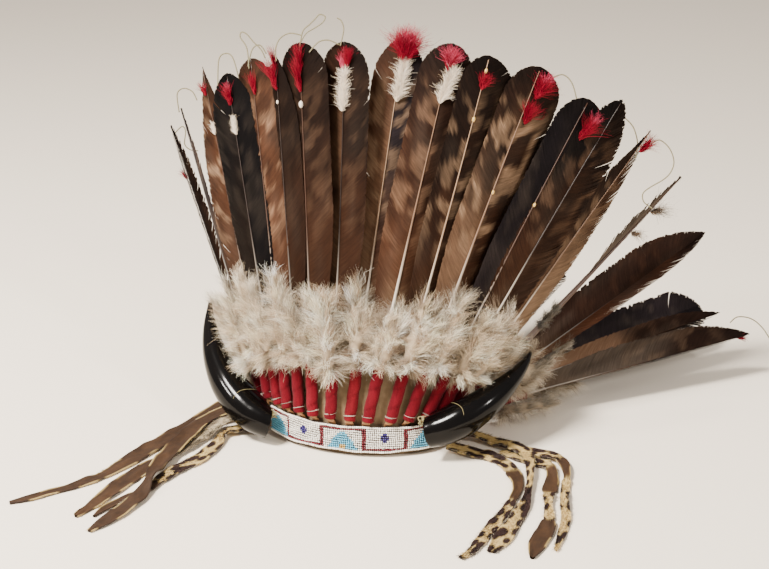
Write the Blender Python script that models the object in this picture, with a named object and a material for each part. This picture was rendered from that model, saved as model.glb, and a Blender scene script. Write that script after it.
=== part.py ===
"""A horned feather headdress of the Plains kind, lying on a table as it would by itself.

A soft felt cap stands on its rim. A beaded brow band crosses its front, a polished horn sweeps out and
back from each end of the band, and a ring of feathers is tied round the rim, each in a red wool wrap.
Those at the front stand up in a fan and those at the back have fallen flat. Down hangs over the tops of
the wraps, and strips of spotted hide trail from the horns across the table.

The model is laid out with the middle of the rim at the origin, the brow towards -Y and the table at
z = 0. At the end everything is moved so that the middle of its box stands on the origin. Sizes are in
millimetres and angles in degrees, until MM turns them into metres.
"""

import math

import bmesh
import bpy
from mathutils import Matrix, Vector

MM = 0.001
GAP = 0.4  # left between pieces that meet

# The cap: an egg-shaped rim, broad and shallow in front, with a soft dome.
CAP_HALF_WIDTH = 97.0
CAP_FRONT = 73.0
CAP_REAR = 92.0
CAP_HEIGHT = 112.0
CAP_WALL = 2.5
CAP_SQUARENESS = 2.4  # 2 is an ellipse, and more has straighter sides
CAP_CREASE = 9.0
CAP_CREASE_WIDTH = 26.0
CAP_SIDES = 36
CAP_LEVELS = 7

# The brow band: a stiff strip bent round the front, standing off the cap by the leather feet of the wraps.
BAND_HALF_ANGLE = 50.0
BAND_LOW = 5.0
BAND_HIGH = 31.0
BAND_THICK = 2.6
BAND_STEPS = 24
FOOT_THICK = 2.2  # the leather foot of a wrap, between the cap and the band
FOOT_ROOM = 0.4  # the band's slack over the feet, beyond a gap on each side

# The wraps: wool wound round a quill, with a flat leather foot held behind the band.
WRAP_RADIUS = 5.0
WRAP_TOP = 60.0  # along the feather, from the band's top edge
WRAP_CLEAR = 0.9  # between a wrap and the cap's foot

# Sections of the foot: height above the seat, half width.
FOOT_SECTIONS = ((-20.0, 3.2), (-2.2, 4.2))

# Sections along a wrap: distance from the seat, half width and half depth.
WRAP_SECTIONS = (
    (4.0, 4.6, 2.6),
    (9.0, 5.0, 4.9),
    (WRAP_TOP, 4.6, 4.6),
)

# The feathers: a quill of round section that flattens into a ridge down the middle of a thin vane.
QUILL_START = WRAP_TOP + GAP
JOINED_START = WRAP_TOP + 4.0  # where the bare quill starts on a feather that is one with its wrap
QUILL_HALF_WIDTH = 2.2
QUILL_HALF_DEPTH = 2.0
VANE_START = 74.0
VANE_EDGE = 0.4  # half the thickness of the vane's edge
RIDGE = 1.5  # half width of the quill's ridge
RIDGE_FACE = 1.7  # how far the ridge stands up on the outer face
RIDGE_FACE_SIDE = 0.93  # how far at its sides
RIDGE_BACK = 1.1  # and on the back
RIDGE_BACK_SIDE = 0.77
TIP_TAPER = 0.45  # the share of its thickness that a vane loses towards its tip
VANE_BASE = 0.2  # a vane's width where it starts, as a share of its greatest
VANE_FULL = 0.6  # where along its vane it is widest
VANE_SWELL = 1.2  # how slowly it widens at first
VANE_END = 0.07  # the width left at the tip
VANE_NARROWEST = 1.8  # the least width of one side, beyond the ridge
TIP_POINTING = 0.8  # how much leaner a sharp tip is than a round one
VANE_STATIONS = (0.0, 0.13, 0.32, 0.55, 0.76, 0.9, 0.965, 1.0)
BLUNT_TIP = 0.92  # where along its vane a round tip starts
SHARPEST = 0.34  # how much sooner the sharpest tip starts

# One row for each feather round the rim, from the left temple across the brow and round the back.
# place: round the rim from the brow, positive to the right. seat: how high above the table it leaves the
# rim. rise and heading: the quill's direction above the table, and round from the brow. length: from the
# seat to the tip. width: across the vane. wide_left and wide_right: how wide each side is, as a share of
# half the width. swing: how far the vane is turned about the quill, positive with its right edge back.
# turn: what the tip is twisted by, beyond that. point: 0 is a round tip, 1 a sharp one and more a long
# taper. bow: how far the tip bends to the right. down: how deep the down on it is. reach: how far up it
# the down goes, as a share of the longest.
FEATHER_COLUMNS = (
    "place", "seat", "rise", "heading", "length", "width", "wide_left", "wide_right", "swing", "turn", "point",
    "bow", "down", "reach",
)
FEATHER_ROWS = (
    (-73.0, 34.0, 45.0, -138.0, 302.0, 30.0, 1.00, 1.00, -6.0, -4.0, 0.8, 2.0, 8.0, 0.80),
    (-63.0, 34.0, 52.0, -138.0, 305.0, 32.0, 1.00, 1.00, -4.0, 2.0, 0.8, 2.0, 10.0, 0.80),
    (-52.5, 34.0, 66.0, -137.0, 325.0, 44.0, 1.10, 1.00, 30.0, 14.0, 1.5, 0.0, 15.0, 1.00),
    (-42.0, 34.0, 70.0, -140.0, 317.0, 50.0, 1.15, 1.00, 9.0, 15.0, 0.3, 0.0, 18.0, 1.00),
    (-34.0, 34.0, 72.0, -147.0, 330.0, 48.0, 1.00, 1.00, 1.0, 10.0, 0.1, 0.0, 21.0, 1.00),
    (-25.4, 34.0, 74.0, -153.0, 332.0, 46.0, 1.00, 1.00, -8.0, 4.0, 0.7, 0.0, 21.0, 1.00),
    (-16.7, 34.0, 76.0, -160.0, 345.0, 56.0, 0.95, 1.05, -8.5, 1.0, 0.1, -3.0, 21.0, 1.00),
    (-7.1, 34.0, 76.0, 180.0, 347.0, 50.0, 1.00, 1.00, -13.0, 8.0, 0.1, -7.0, 21.0, 1.00),
    (2.9, 34.0, 71.0, 168.0, 356.0, 50.0, 1.00, 1.00, 0.0, 4.0, 0.2, 0.0, 21.0, 1.00),
    (12.0, 34.0, 72.0, 149.0, 355.0, 50.0, 1.00, 1.00, 10.0, -8.0, 0.1, 1.0, 21.0, 1.00),
    (24.0, 34.0, 71.0, 139.0, 347.0, 52.0, 0.80, 1.25, 11.0, -8.0, 0.1, -4.0, 21.0, 1.00),
    (34.0, 34.0, 67.0, 136.0, 346.0, 58.0, 0.90, 1.20, 12.0, -9.0, 0.1, 5.0, 21.0, 1.00),
    (44.0, 34.0, 60.0, 132.0, 331.0, 56.0, 0.80, 1.24, 4.5, -15.5, 0.1, 4.0, 19.0, 1.00),
    (52.5, 34.0, 57.0, 130.0, 339.0, 52.0, 1.00, 1.08, -12.0, -12.0, 0.5, 4.0, 15.0, 0.95),
    (62.0, 34.0, 50.0, 131.0, 326.0, 46.0, 1.00, 1.00, -20.0, 0.0, 1.6, 4.0, 9.0, 0.78),
    (72.0, 34.0, 36.0, 135.0, 317.0, 26.0, 1.00, 1.00, -8.0, 0.0, 0.9, -6.0, 7.0, 0.72),
    (82.0, 33.0, 24.0, 134.0, 310.0, 50.0, 0.50, 1.20, 45.0, 10.0, 0.7, 0.0, 8.0, 0.72),
    (91.0, 24.0, 4.8, 127.0, 320.0, 40.0, 0.15, 1.20, 40.0, 0.0, 0.7, 0.0, 9.0, 0.76),
    (101.0, 27.0, 4.7, 135.0, 318.0, 40.0, 0.30, 0.85, 30.0, 0.0, 0.7, 0.0, 12.0, 0.90),
    (112.0, 30.0, 2.6, 140.0, 322.0, 56.0, 1.00, 1.00, 28.0, 0.0, 0.1, 0.0, 15.0, 1.00),
    (133.0, 34.0, 3.0, 168.0, 292.0, 44.0, 1.00, 1.00, 13.0, 0.0, 0.2, 0.0, 18.0, 1.00),
    (154.0, 34.0, 3.0, 173.0, 305.0, 44.0, 1.00, 1.00, 13.0, 0.0, 0.2, 0.0, 17.0, 1.00),
    (174.0, 34.0, 2.0, 178.0, 312.0, 44.0, 1.00, 1.00, 13.0, 0.0, 0.2, 0.0, 17.0, 1.00),
    (194.0, 34.0, 2.0, 183.0, 312.0, 44.0, 1.00, 1.00, 13.0, 0.0, 0.2, 0.0, 17.0, 1.00),
    (214.0, 34.0, 3.0, 187.0, 315.0, 44.0, 1.00, 1.00, 13.0, 0.0, 0.2, 0.0, 17.0, 1.00),
    (234.0, 34.0, 6.0, 193.0, 310.0, 42.0, 1.00, 1.00, 13.0, 0.0, 0.2, 0.0, 16.0, 1.00),
    (254.0, 34.0, 14.0, 197.0, 305.0, 40.0, 1.00, 1.00, 13.0, 0.0, 0.3, 0.0, 14.0, 1.00),
    (272.0, 34.0, 28.0, 203.0, 300.0, 36.0, 1.00, 1.00, 13.0, 0.0, 0.4, 0.0, 10.0, 0.90),
)
SHOWN_WRAPS = range(1, 15)  # the wraps that are pieces of their own; the others are one with their feather

# The horns: a smooth curve from a cut root beside the band. side -1 is the left one.
HORN_ROOT = {-1: (76.5, -67.5), 1: (78.5, -67.0)}
HORN_ROOT_HEIGHT = {-1: 20.0, 1: 28.0}
HORN_REACH = 80.5  # how far the tip is out from the root
HORN_SWEEP = 72.0  # how far back
HORN_RISE = {-1: 87.0, 1: 58.0}
# The two points that the curve is pulled towards: shares of reach and of sweep, and height in millimetres.
HORN_PULLS = ((0.37, 0.06, 9.0), (0.92, 0.48, 40.0))
HORN_STEPS = 12
HORN_SIDES = 12
# Radius along each horn: share of the way, radius.
HORN_RADII = {
    -1: ((0.0, 11.6), (0.12, 15.2), (0.3, 17.8), (0.5, 16.6), (0.7, 12.0), (0.88, 6.2), (1.0, 1.6)),
    1: ((0.0, 12.0), (0.12, 15.0), (0.3, 17.4), (0.5, 14.4), (0.7, 9.2), (0.88, 4.8), (1.0, 1.4)),
}

# The down: locks that stand over the seats of the feathers, joined along their backs.
DOWN_CLEAR = 8.6  # off the feathers' faces
DOWN_GROUPS = (
    ("down_left", 1, 4),
    ("down_front", 5, 13),
    ("down_right", 14, 16),
    ("down_rear_right", 17, 21),
    ("down_rear_left", 22, 27),
)
# A section of down at a feather and between two: distance along the feather, distance out as a share.
LOCK_AT_FEATHER = (
    (44, 0.0), (38, 0.5), (46, 0.9), (84, 1.0), (126, 0.75), (152, 0.3), (144, 0.0), (92, 0.0),
)
LOCK_BETWEEN = (
    (50, 0.0), (46, 0.4), (52, 0.7), (82, 0.75), (108, 0.6), (126, 0.25), (120, 0.0), (88, 0.0),
)

# The strips of spotted hide, each lying along its own route from under a horn.
STRIP_THICK = 1.6
STRIP_STEPS = 2  # sections between two points of a route
STRIP_NARROWEST = 0.8  # half width at a tip
# x and y: the middle of the strip. lift: its underside above the table. half: half its width. turn: how
# far it has been turned over, 0 with the hair up and 180 with the skin up.
STRIP_COLUMNS = ("x", "y", "lift", "half", "turn")
STRIPS = {
    "hide_strip_left_1": (
        (-108, -14, 14.0, 7.0, 180),
        (-124, -10, 12.0, 8.0, 180),
        (-139, -14, 8.0, 8.5, 180),
        (-150, -33, 3.5, 8.5, 180),
        (-161, -60, 1.0, 9.0, 180),
        (-173, -88, 0.0, 9.0, 180),
        (-185, -129, 0.0, 9.0, 180),
        (-199, -169, 0.0, 7.0, 180),
        (-214, -194, 0.0, 5.5, 180),
        (-230, -212, 0.0, 4.5, 180),
        (-243, -228, 0.0, 3.5, 180),
        (-257, -240, 0.0, 1.5, 180),
    ),
    "hide_strip_left_2": (
        (-107, -34, 16.0, 7.0, 180),
        (-122, -30, 13.0, 8.0, 180),
        (-138, -41, 9.0, 8.5, 180),
        (-149, -62, 6.5, 8.5, 180),
        (-152, -90, 5.0, 8.5, 180),
        (-155, -122, 4.6, 8.5, 180),
        (-155, -152, 4.6, 7.0, 180),
        (-152, -176, 4.6, 5.0, 210),
        (-151, -202, 2.8, 7.5, 180),
        (-157, -230, 0.6, 8.5, 180),
        (-163, -250, 0.0, 7.0, 180),
        (-169, -269, 0.0, 2.5, 180),
    ),
    "hide_strip_left_3": (
        (-113, -48, 12.0, 6.5, 0),
        (-129, -56, 6.5, 6.5, 0),
        (-138, -74, 2.2, 7.0, 0),
        (-146, -100, 2.0, 7.0, 0),
        (-156, -124, 1.8, 7.0, 0),
        (-166, -143, 0.0, 8.0, 0),
        (-174, -170, 0.0, 9.0, 0),
        (-180, -200, 0.0, 8.0, 0),
        (-186, -228, 0.0, 5.5, 0),
        (-191, -248, 0.0, 2.0, 0),
    ),
    "hide_strip_left_4": (
        (-98, -52, 3.0, 6.5, 0),
        (-112, -56, 2.0, 7.0, 0),
        (-121, -70, 1.0, 5.0, 25),
        (-122, -90, 0.0, 6.5, 0),
        (-127, -118, 0.0, 8.0, 0),
        (-138, -142, 0.0, 7.5, 0),
        (-145, -166, 0.0, 6.5, 0),
        (-151, -188, 0.0, 6.0, 0),
        (-163, -209, 0.0, 5.0, 0),
        (-172, -228, 0.0, 3.5, 0),
        (-176, -244, 0.0, 1.5, 0),
    ),
    "hide_strip_right_1": (
        (91, -46, 5.0, 7.0, 0),
        (106, -45, 2.0, 8.5, 0),
        (121, -48, 0.0, 8.5, 0),
        (134, -53, 0.0, 6.0, 20),
        (149, -62, 0.0, 6.5, 0),
        (162, -84, 0.0, 6.5, 0),
        (168, -106, 0.0, 4.5, 0),
        (167, -131, 0.0, 4.0, 0),
        (163, -157, 0.0, 5.0, 0),
        (157, -186, 0.0, 5.5, 0),
        (152, -211, 0.0, 5.0, 0),
        (149, -226, 0.0, 4.0, 0),
        (143, -237, 0.0, 2.5, 0),
    ),
    "hide_strip_right_2": (
        (100, -22, 9.0, 7.0, 0),
        (116, -18, 5.0, 8.0, 0),
        (131, -21, 2.4, 8.0, 0),
        (146, -27, 4.2, 8.0, 0),
        (160, -38, 4.6, 7.0, 0),
        (170, -57, 4.6, 5.0, 0),
        (176, -84, 2.0, 3.5, 30),
        (179, -113, 0.0, 3.5, 30),
        (178, -142, 0.0, 6.0, 0),
        (174, -173, 0.0, 7.5, 0),
        (170, -200, 0.0, 7.5, 0),
        (165, -221, 0.0, 4.0, 0),
    ),
    "hide_strip_right_3": (
        (140, -38, 0.0, 4.0, 0),
        (152, -43, 0.0, 5.0, 0),
        (163, -47, 0.0, 6.5, 0),
        (178, -53, 0.0, 7.0, 0),
        (190, -60, 0.0, 5.0, 20),
        (195, -80, 0.0, 6.0, 0),
        (196, -104, 0.0, 6.5, 0),
        (199, -131, 0.0, 3.5, 30),
        (203, -154, 0.0, 5.0, 0),
        (203, -176, 0.0, 8.0, 0),
        (200, -200, 0.0, 8.0, 0),
        (199, -223, 0.0, 2.0, 0),
    ),
    "hide_strip_right_4": (
        (150, -27, 0.0, 5.0, 0),
        (172, -32, 0.4, 6.0, 0),
        (188, -38, 2.2, 6.5, 0),
        (200, -49, 2.2, 5.5, 0),
        (207, -69, 0.0, 4.0, 30),
        (209, -95, 0.0, 4.0, 0),
        (212, -122, 0.0, 4.0, 30),
        (217, -152, 0.0, 4.0, 0),
        (217, -180, 0.0, 3.5, 0),
        (216, -205, 0.0, 1.5, 0),
    ),
}

# Colour, roughness and metallic value of each material.
FINISHES = {
    "felt": ((0.20, 0.15, 0.09), 0.95, 0.0),
    "beadwork": ((0.78, 0.76, 0.70), 0.35, 0.0),
    "horn": ((0.012, 0.010, 0.009), 0.2, 0.0),
    "feather_vane": ((0.07, 0.045, 0.03), 0.6, 0.0),
    "red_wool": ((0.38, 0.012, 0.02), 0.9, 0.0),
    "down": ((0.62, 0.52, 0.40), 0.95, 0.0),
    "spotted_hide": ((0.50, 0.33, 0.18), 0.85, 0.0),
}


def finish(name):
    """The material of one kind of surface, made the first time it is asked for."""
    made = bpy.data.materials.get(name)
    if made:
        return made
    colour, roughness, metallic = FINISHES[name]
    made = bpy.data.materials.new(name)
    made.use_nodes = True
    shader = made.node_tree.nodes["Principled BSDF"]
    shader.inputs["Base Color"].default_value = (*colour, 1.0)
    shader.inputs["Roughness"].default_value = roughness
    shader.inputs["Metallic"].default_value = metallic
    return made


def clear_scene():
    """Removes whatever the empty file starts with."""
    for thing in list(bpy.data.objects):
        bpy.data.objects.remove(thing, do_unlink=True)


def add_piece(name, shape, material, sharp_angle=50.0):
    """Turns a bmesh into a named object, with every face pointing out."""
    bmesh.ops.recalc_face_normals(shape, faces=shape.faces)
    mesh = bpy.data.meshes.new(name)
    shape.to_mesh(mesh)
    shape.free()
    mesh.materials.append(finish(material))
    mesh.shade_smooth()
    mesh.set_sharp_from_angle(angle=math.radians(sharp_angle))
    piece = bpy.data.objects.new(name, mesh)
    bpy.context.scene.collection.objects.link(piece)
    return piece


def loft(name, sections, material, sharp_angle=50.0):
    """A closed solid through rings of as many points each, in millimetres, with flat ends."""
    shape = bmesh.new()
    rings = [[shape.verts.new(point * MM) for point in ring] for ring in sections]
    for low, high in zip(rings, rings[1:]):
        for i in range(len(low)):
            j = (i + 1) % len(low)
            shape.faces.new((low[i], low[j], high[j], high[i]))
    shape.faces.new(rings[0])
    shape.faces.new(rings[-1])
    return add_piece(name, shape, material, sharp_angle)


def eased(rows, at):
    """The value at a place in rows of (place, value), going smoothly from row to row."""
    for (a, low), (b, high) in zip(rows, rows[1:]):
        if at <= b:
            share = max(0.0, (at - a) / (b - a))
            return low + (high - low) * share * share * (3 - 2 * share)
    return rows[-1][1]


def rim_point(place, out=0.0, height=0.0):
    """A point at an angle round the rim, a distance out from the cap's foot."""
    angle = math.radians(place)
    depth = CAP_FRONT if math.cos(angle) > 0 else CAP_REAR
    x = (CAP_HALF_WIDTH + out) * math.sin(angle)
    y = -(depth + out) * math.cos(angle)
    return Vector((x, y, height))


def heading_vector(rise, heading):
    """The direction that rises by one angle and heads round from the brow by another."""
    up, round_by = math.radians(rise), math.radians(heading)
    flat = math.cos(up)
    return Vector((flat * math.sin(round_by), -flat * math.cos(round_by), math.sin(up)))


def frame_along(direction, place):
    """The directions across a feather and out of its face, for a feather at a place round the rim."""
    angle = math.radians(place)
    round_rim = Vector((math.cos(angle), math.sin(angle), 0.0))
    across = (round_rim - direction * round_rim.dot(direction)).normalized()
    return across, across.cross(direction)


# The cap.


def dome_row(share, half_width, front, rear, height):
    """One ring of points round the dome, a share of the way from its rim to its top."""
    angle = share * math.pi / 2
    reach = math.cos(angle) ** (2 / CAP_SQUARENESS)
    level = height * math.sin(angle) ** (2 / CAP_SQUARENESS)
    row = []
    for k in range(CAP_SIDES):
        turn = 2 * math.pi * k / CAP_SIDES
        depth = front if math.cos(turn) > 0 else rear
        x = half_width * reach * math.sin(turn)
        y = -depth * reach * math.cos(turn)
        dip = CAP_CREASE * math.exp(-((x / CAP_CREASE_WIDTH) ** 2)) * (level / height) ** 4
        row.append(Vector((x, y, level - dip)))
    return row


def make_cap():
    """A felt dome of even thickness, open below, with a soft crease from front to back over its top."""
    shape = bmesh.new()
    skins = []
    for inset in (0.0, CAP_WALL):
        sizes = (CAP_HALF_WIDTH - inset, CAP_FRONT - inset, CAP_REAR - inset, CAP_HEIGHT - inset)
        rows = []
        for k in range(CAP_LEVELS):
            points = dome_row(k / CAP_LEVELS, *sizes)
            rows.append([shape.verts.new(point * MM) for point in points])
        top = shape.verts.new(Vector((0.0, 0.0, sizes[3] - CAP_CREASE)) * MM)
        for low, high in zip(rows, rows[1:]):
            for i in range(CAP_SIDES):
                j = (i + 1) % CAP_SIDES
                shape.faces.new((low[i], low[j], high[j], high[i]))
        for i in range(CAP_SIDES):
            shape.faces.new((rows[-1][i], rows[-1][(i + 1) % CAP_SIDES], top))
        skins.append(rows[0])
    outer, inner = skins
    for i in range(CAP_SIDES):
        j = (i + 1) % CAP_SIDES
        shape.faces.new((outer[i], outer[j], inner[j], inner[i]))
    return add_piece("cap", shape, "felt")


def make_brow_band():
    """A stiff flat strip bent round the front of the rim."""
    inner = FOOT_THICK + 2 * GAP + FOOT_ROOM
    sections = []
    for k in range(BAND_STEPS + 1):
        place = BAND_HALF_ANGLE * (2 * k / BAND_STEPS - 1)
        sections.append(
            [
                rim_point(place, inner, BAND_LOW),
                rim_point(place, inner + BAND_THICK, BAND_LOW),
                rim_point(place, inner + BAND_THICK, BAND_HIGH),
                rim_point(place, inner, BAND_HIGH),
            ]
        )
    return loft("brow_band", sections, "beadwork")


# The feathers and their wraps.


def seat_of(row):
    """Where a feather's middle leaves the rim, just outside the cap."""
    return rim_point(row["place"], WRAP_RADIUS + WRAP_CLEAR, row["seat"])


def quill_ring(centre, across, out, half_width, half_depth):
    """Ten points round a quill or its wrap, in the order that a vane's section uses."""
    angles = (195, 165, 120, 90, 60, 15, -15, -60, -90, -120)
    return [
        centre
        + across * (half_width * math.cos(math.radians(a)))
        + out * (half_depth * math.sin(math.radians(a)))
        for a in angles
    ]


def vane_ring(centre, across, out, left, right, taper):
    """Ten points round a vane: its left edge, the ridge on its face, its right edge, the ridge behind."""
    across_and_out = (
        (-left, -VANE_EDGE * taper),
        (-left, VANE_EDGE * taper),
        (-RIDGE * taper, RIDGE_FACE_SIDE * taper),
        (0.0, RIDGE_FACE * taper),
        (RIDGE * taper, RIDGE_FACE_SIDE * taper),
        (right, VANE_EDGE * taper),
        (right, -VANE_EDGE * taper),
        (RIDGE * taper, -RIDGE_BACK_SIDE * taper),
        (0.0, -RIDGE_BACK * taper),
        (-RIDGE * taper, -RIDGE_BACK_SIDE * taper),
    )
    return [centre + across * x + out * y for x, y in across_and_out]


def vane_share(station, point):
    """The vane's half width as a share of its greatest: narrow, then broad, then a round or sharp tip."""
    rise = math.sin(min(1.0, station / VANE_FULL) * math.pi / 2) ** VANE_SWELL
    base = VANE_BASE + (1.0 - VANE_BASE) * rise
    tip_start = BLUNT_TIP - SHARPEST * point
    if station <= tip_start:
        return base
    left = (1.0 - station) / (1.0 - tip_start)
    rounded = math.sqrt(1.0 - (1.0 - left) ** 2)
    return max(VANE_END, base * rounded ** (1.0 + TIP_POINTING * point))


def wrap_rings(row):
    """The sections of a wrap, from the flat foot behind the band to its top on the quill."""
    direction = heading_vector(row["rise"], row["heading"])
    across, out = frame_along(direction, row["place"])
    flat_across, flat_out = frame_along(Vector((0.0, 0.0, 1.0)), row["place"])
    foot_out = GAP + FOOT_THICK / 2
    rings = []
    for height, half_width in FOOT_SECTIONS:
        middle = rim_point(row["place"], foot_out, row["seat"] + height)
        rings.append(quill_ring(middle, flat_across, flat_out, half_width, FOOT_THICK / 2))
    seat = seat_of(row)
    for along, half_width, half_depth in WRAP_SECTIONS:
        rings.append(quill_ring(seat + direction * along, across, out, half_width, half_depth))
    return rings


def quill_rings(row, start):
    """The sections of a feather above its wrap: the bare quill, then the vane."""
    direction = heading_vector(row["rise"], row["heading"])
    across, out = frame_along(direction, row["place"])
    seat = seat_of(row)
    rings = [quill_ring(seat + direction * start, across, out, QUILL_HALF_WIDTH, QUILL_HALF_DEPTH)]
    for station in VANE_STATIONS:
        along = VANE_START + (row["length"] - VANE_START) * station
        swing = math.radians(row["swing"] + row["turn"] * station)
        turned_across = across * math.cos(swing) - out * math.sin(swing)
        turned_out = out * math.cos(swing) + across * math.sin(swing)
        bend = turned_across * (row["bow"] * station**2)
        half = row["width"] / 2 * vane_share(station, row["point"])
        left, right = (max(VANE_NARROWEST, half * row[side]) for side in ("wide_left", "wide_right"))
        taper = 1.0 - TIP_TAPER * station
        middle = seat + direction * along + bend
        rings.append(vane_ring(middle, turned_across, turned_out, left, right, taper))
    return rings


def make_feathers(rows):
    """Every feather, with the wraps that show as pieces of their own."""
    for i, row in enumerate(rows):
        number = f"{i + 1:02d}"
        if i in SHOWN_WRAPS:
            loft(f"wrap_{number}", wrap_rings(row), "red_wool")
            loft(f"feather_{number}", quill_rings(row, QUILL_START), "feather_vane")
        else:
            rings = wrap_rings(row) + quill_rings(row, JOINED_START)
            loft(f"feather_{number}", rings, "feather_vane")


# The down.


def down_ring(row, lock):
    """One section of down, standing out from a feather's face."""
    direction = heading_vector(row["rise"], row["heading"])
    out = frame_along(direction, row["place"])[1]
    seat = seat_of(row)
    ring = []
    for along, share in lock:
        ring.append(seat + direction * (along * row["reach"]) + out * (DOWN_CLEAR + row["down"] * share))
    return ring


def halfway(row, after):
    """A row between two feathers, for the hollow between their locks."""
    keys = ("place", "seat", "rise", "heading", "down", "reach")
    return {key: (row[key] + after[key]) / 2 for key in keys}


def make_down(rows):
    """Each group is one solid: a lock for each feather, fused to the next through a lower stretch."""
    for name, first, last in DOWN_GROUPS:
        sections = []
        for i in range(first, last + 1):
            sections.append(down_ring(rows[i], LOCK_AT_FEATHER))
            if i < last:
                sections.append(down_ring(halfway(rows[i], rows[i + 1]), LOCK_BETWEEN))
        loft(name, sections, "down")


# The horns.


def bezier(points, share):
    """The point a share of the way along a curve with four control points."""
    a, b, c, d = points
    left = 1.0 - share
    return a * left**3 + b * (3 * left**2 * share) + c * (3 * left * share**2) + d * share**3


def make_horn(name, side):
    """A polished horn along one smooth curve, out and back from the end of the band."""
    root_out, root_back = HORN_ROOT[side]
    root = Vector((root_out * side, root_back, HORN_ROOT_HEIGHT[side]))
    shares = ((0.0, 0.0, 0.0), *HORN_PULLS, (1.0, 1.0, HORN_RISE[side]))
    points = [root + Vector((x * HORN_REACH * side, y * HORN_SWEEP, z)) for x, y, z in shares]
    sections = []
    for k in range(HORN_STEPS + 1):
        share = k / HORN_STEPS
        ahead = bezier(points, min(1.0, share + 0.01)) - bezier(points, max(0.0, share - 0.01))
        ahead.normalize()
        level = Vector((0.0, 0.0, 1.0)).cross(ahead).normalized()
        upward = ahead.cross(level)
        radius = eased(HORN_RADII[side], share)
        centre = bezier(points, share)
        ring = []
        for j in range(HORN_SIDES):
            turn = 2 * math.pi * j / HORN_SIDES
            ring.append(centre + level * (radius * math.cos(turn)) + upward * (radius * math.sin(turn)))
        sections.append(ring)
    return loft(name, sections, "horn")


# The strips of hide.


def catmull(values, i, share):
    """A value between points i and i + 1 of a list, on the smooth curve through them all."""
    last = len(values) - 1
    a, b, c, d = (values[max(0, min(last, k))] for k in (i - 1, i, i + 1, i + 2))
    straight = (c - a) * share
    bend = (2 * a - 5 * b + 4 * c - d) * share**2
    curl = (3 * b - a - 3 * c + d) * share**3
    return b + (straight + bend + curl) / 2


def make_strip(name, points):
    """A flat strip along its route, its underside lifted and turned as each point says."""
    columns = {key: [row[i] for row in points] for i, key in enumerate(STRIP_COLUMNS)}
    stations = []
    for i in range(len(points) - 1):
        for k in range(STRIP_STEPS):
            stations.append({key: catmull(columns[key], i, k / STRIP_STEPS) for key in STRIP_COLUMNS})
    stations.append(dict(zip(STRIP_COLUMNS, points[-1])))
    sections = []
    for i, here in enumerate(stations):
        before, after = stations[max(0, i - 1)], stations[min(len(stations) - 1, i + 1)]
        ahead = Vector((after["x"] - before["x"], after["y"] - before["y"], 0.0)).normalized()
        level = Vector((-ahead.y, ahead.x, 0.0))
        tilt = math.radians(here["turn"])
        across = level * math.cos(tilt) + Vector((0.0, 0.0, math.sin(tilt)))
        through = Vector((0.0, 0.0, math.cos(tilt))) - level * math.sin(tilt)
        half, thick = max(STRIP_NARROWEST, here["half"]), STRIP_THICK / 2
        height = max(0.0, here["lift"]) + half * abs(math.sin(tilt)) + thick * abs(math.cos(tilt))
        centre = Vector((here["x"], here["y"], height))
        corners = ((-half, -thick), (half, -thick), (half, thick), (-half, thick))
        sections.append([centre + across * x + through * y for x, y in corners])
    return loft(name, sections, "spotted_hide")


def stand_on_origin():
    """Moves every piece so that the middle of the whole box's underside is the origin."""
    corners = [piece.matrix_world @ vert.co for piece in bpy.data.objects for vert in piece.data.vertices]
    middle = [(min(c[i] for c in corners) + max(c[i] for c in corners)) / 2 for i in (0, 1)]
    shift = Matrix.Translation((-middle[0], -middle[1], 0.0))
    for piece in bpy.data.objects:
        piece.matrix_world = shift @ piece.matrix_world


def main():
    clear_scene()
    rows = [dict(zip(FEATHER_COLUMNS, values)) for values in FEATHER_ROWS]
    make_cap()
    make_brow_band()
    make_horn("horn_left", -1)
    make_horn("horn_right", 1)
    make_feathers(rows)
    make_down(rows)
    for name, points in STRIPS.items():
        make_strip(name, points)
    stand_on_origin()


main()
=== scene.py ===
"""The looks of the horned feather headdress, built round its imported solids.

Shapes are worked out in millimetres from the middle of the cap's rim, with the brow towards -Y and the table
at z = 0, and piece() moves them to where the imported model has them. Angles are in degrees. Colours are screen
values from 0 to 255.
"""

import math

import bpy
import numpy as np
from mathutils import Matrix, Vector


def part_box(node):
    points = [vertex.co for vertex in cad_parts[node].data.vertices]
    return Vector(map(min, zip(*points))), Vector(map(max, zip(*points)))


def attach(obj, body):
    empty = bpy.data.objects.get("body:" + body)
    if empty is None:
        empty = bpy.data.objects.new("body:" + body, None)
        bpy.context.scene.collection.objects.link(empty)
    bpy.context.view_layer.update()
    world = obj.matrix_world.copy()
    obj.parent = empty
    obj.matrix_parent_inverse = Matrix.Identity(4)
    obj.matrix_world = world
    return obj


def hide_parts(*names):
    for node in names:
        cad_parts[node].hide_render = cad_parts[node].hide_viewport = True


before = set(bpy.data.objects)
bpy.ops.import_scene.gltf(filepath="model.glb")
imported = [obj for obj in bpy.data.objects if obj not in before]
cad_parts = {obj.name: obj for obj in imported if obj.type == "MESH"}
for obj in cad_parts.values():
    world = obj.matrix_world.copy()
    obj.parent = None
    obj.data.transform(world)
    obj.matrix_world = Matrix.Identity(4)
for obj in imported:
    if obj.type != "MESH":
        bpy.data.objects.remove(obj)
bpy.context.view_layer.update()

MM = 0.001
TABLE_GAP = 0.05  # nothing comes nearer to the table
CAP_HALF_WIDTH = 97.0
CAP_FRONT = 73.0
CAP_REAR = 92.0
CAP_HEIGHT = 112.0
CAP_WALL = 2.5
CAP_SQUARENESS = 2.4  # 2 is an ellipse, and more has straighter sides
CAP_CREASE = 9.0
CAP_CREASE_WIDTH = 26.0

low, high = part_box("cap")
RIM_MIDDLE = np.array([(low.x + high.x) / 2, low.y + CAP_FRONT * MM, 0.0])

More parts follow.
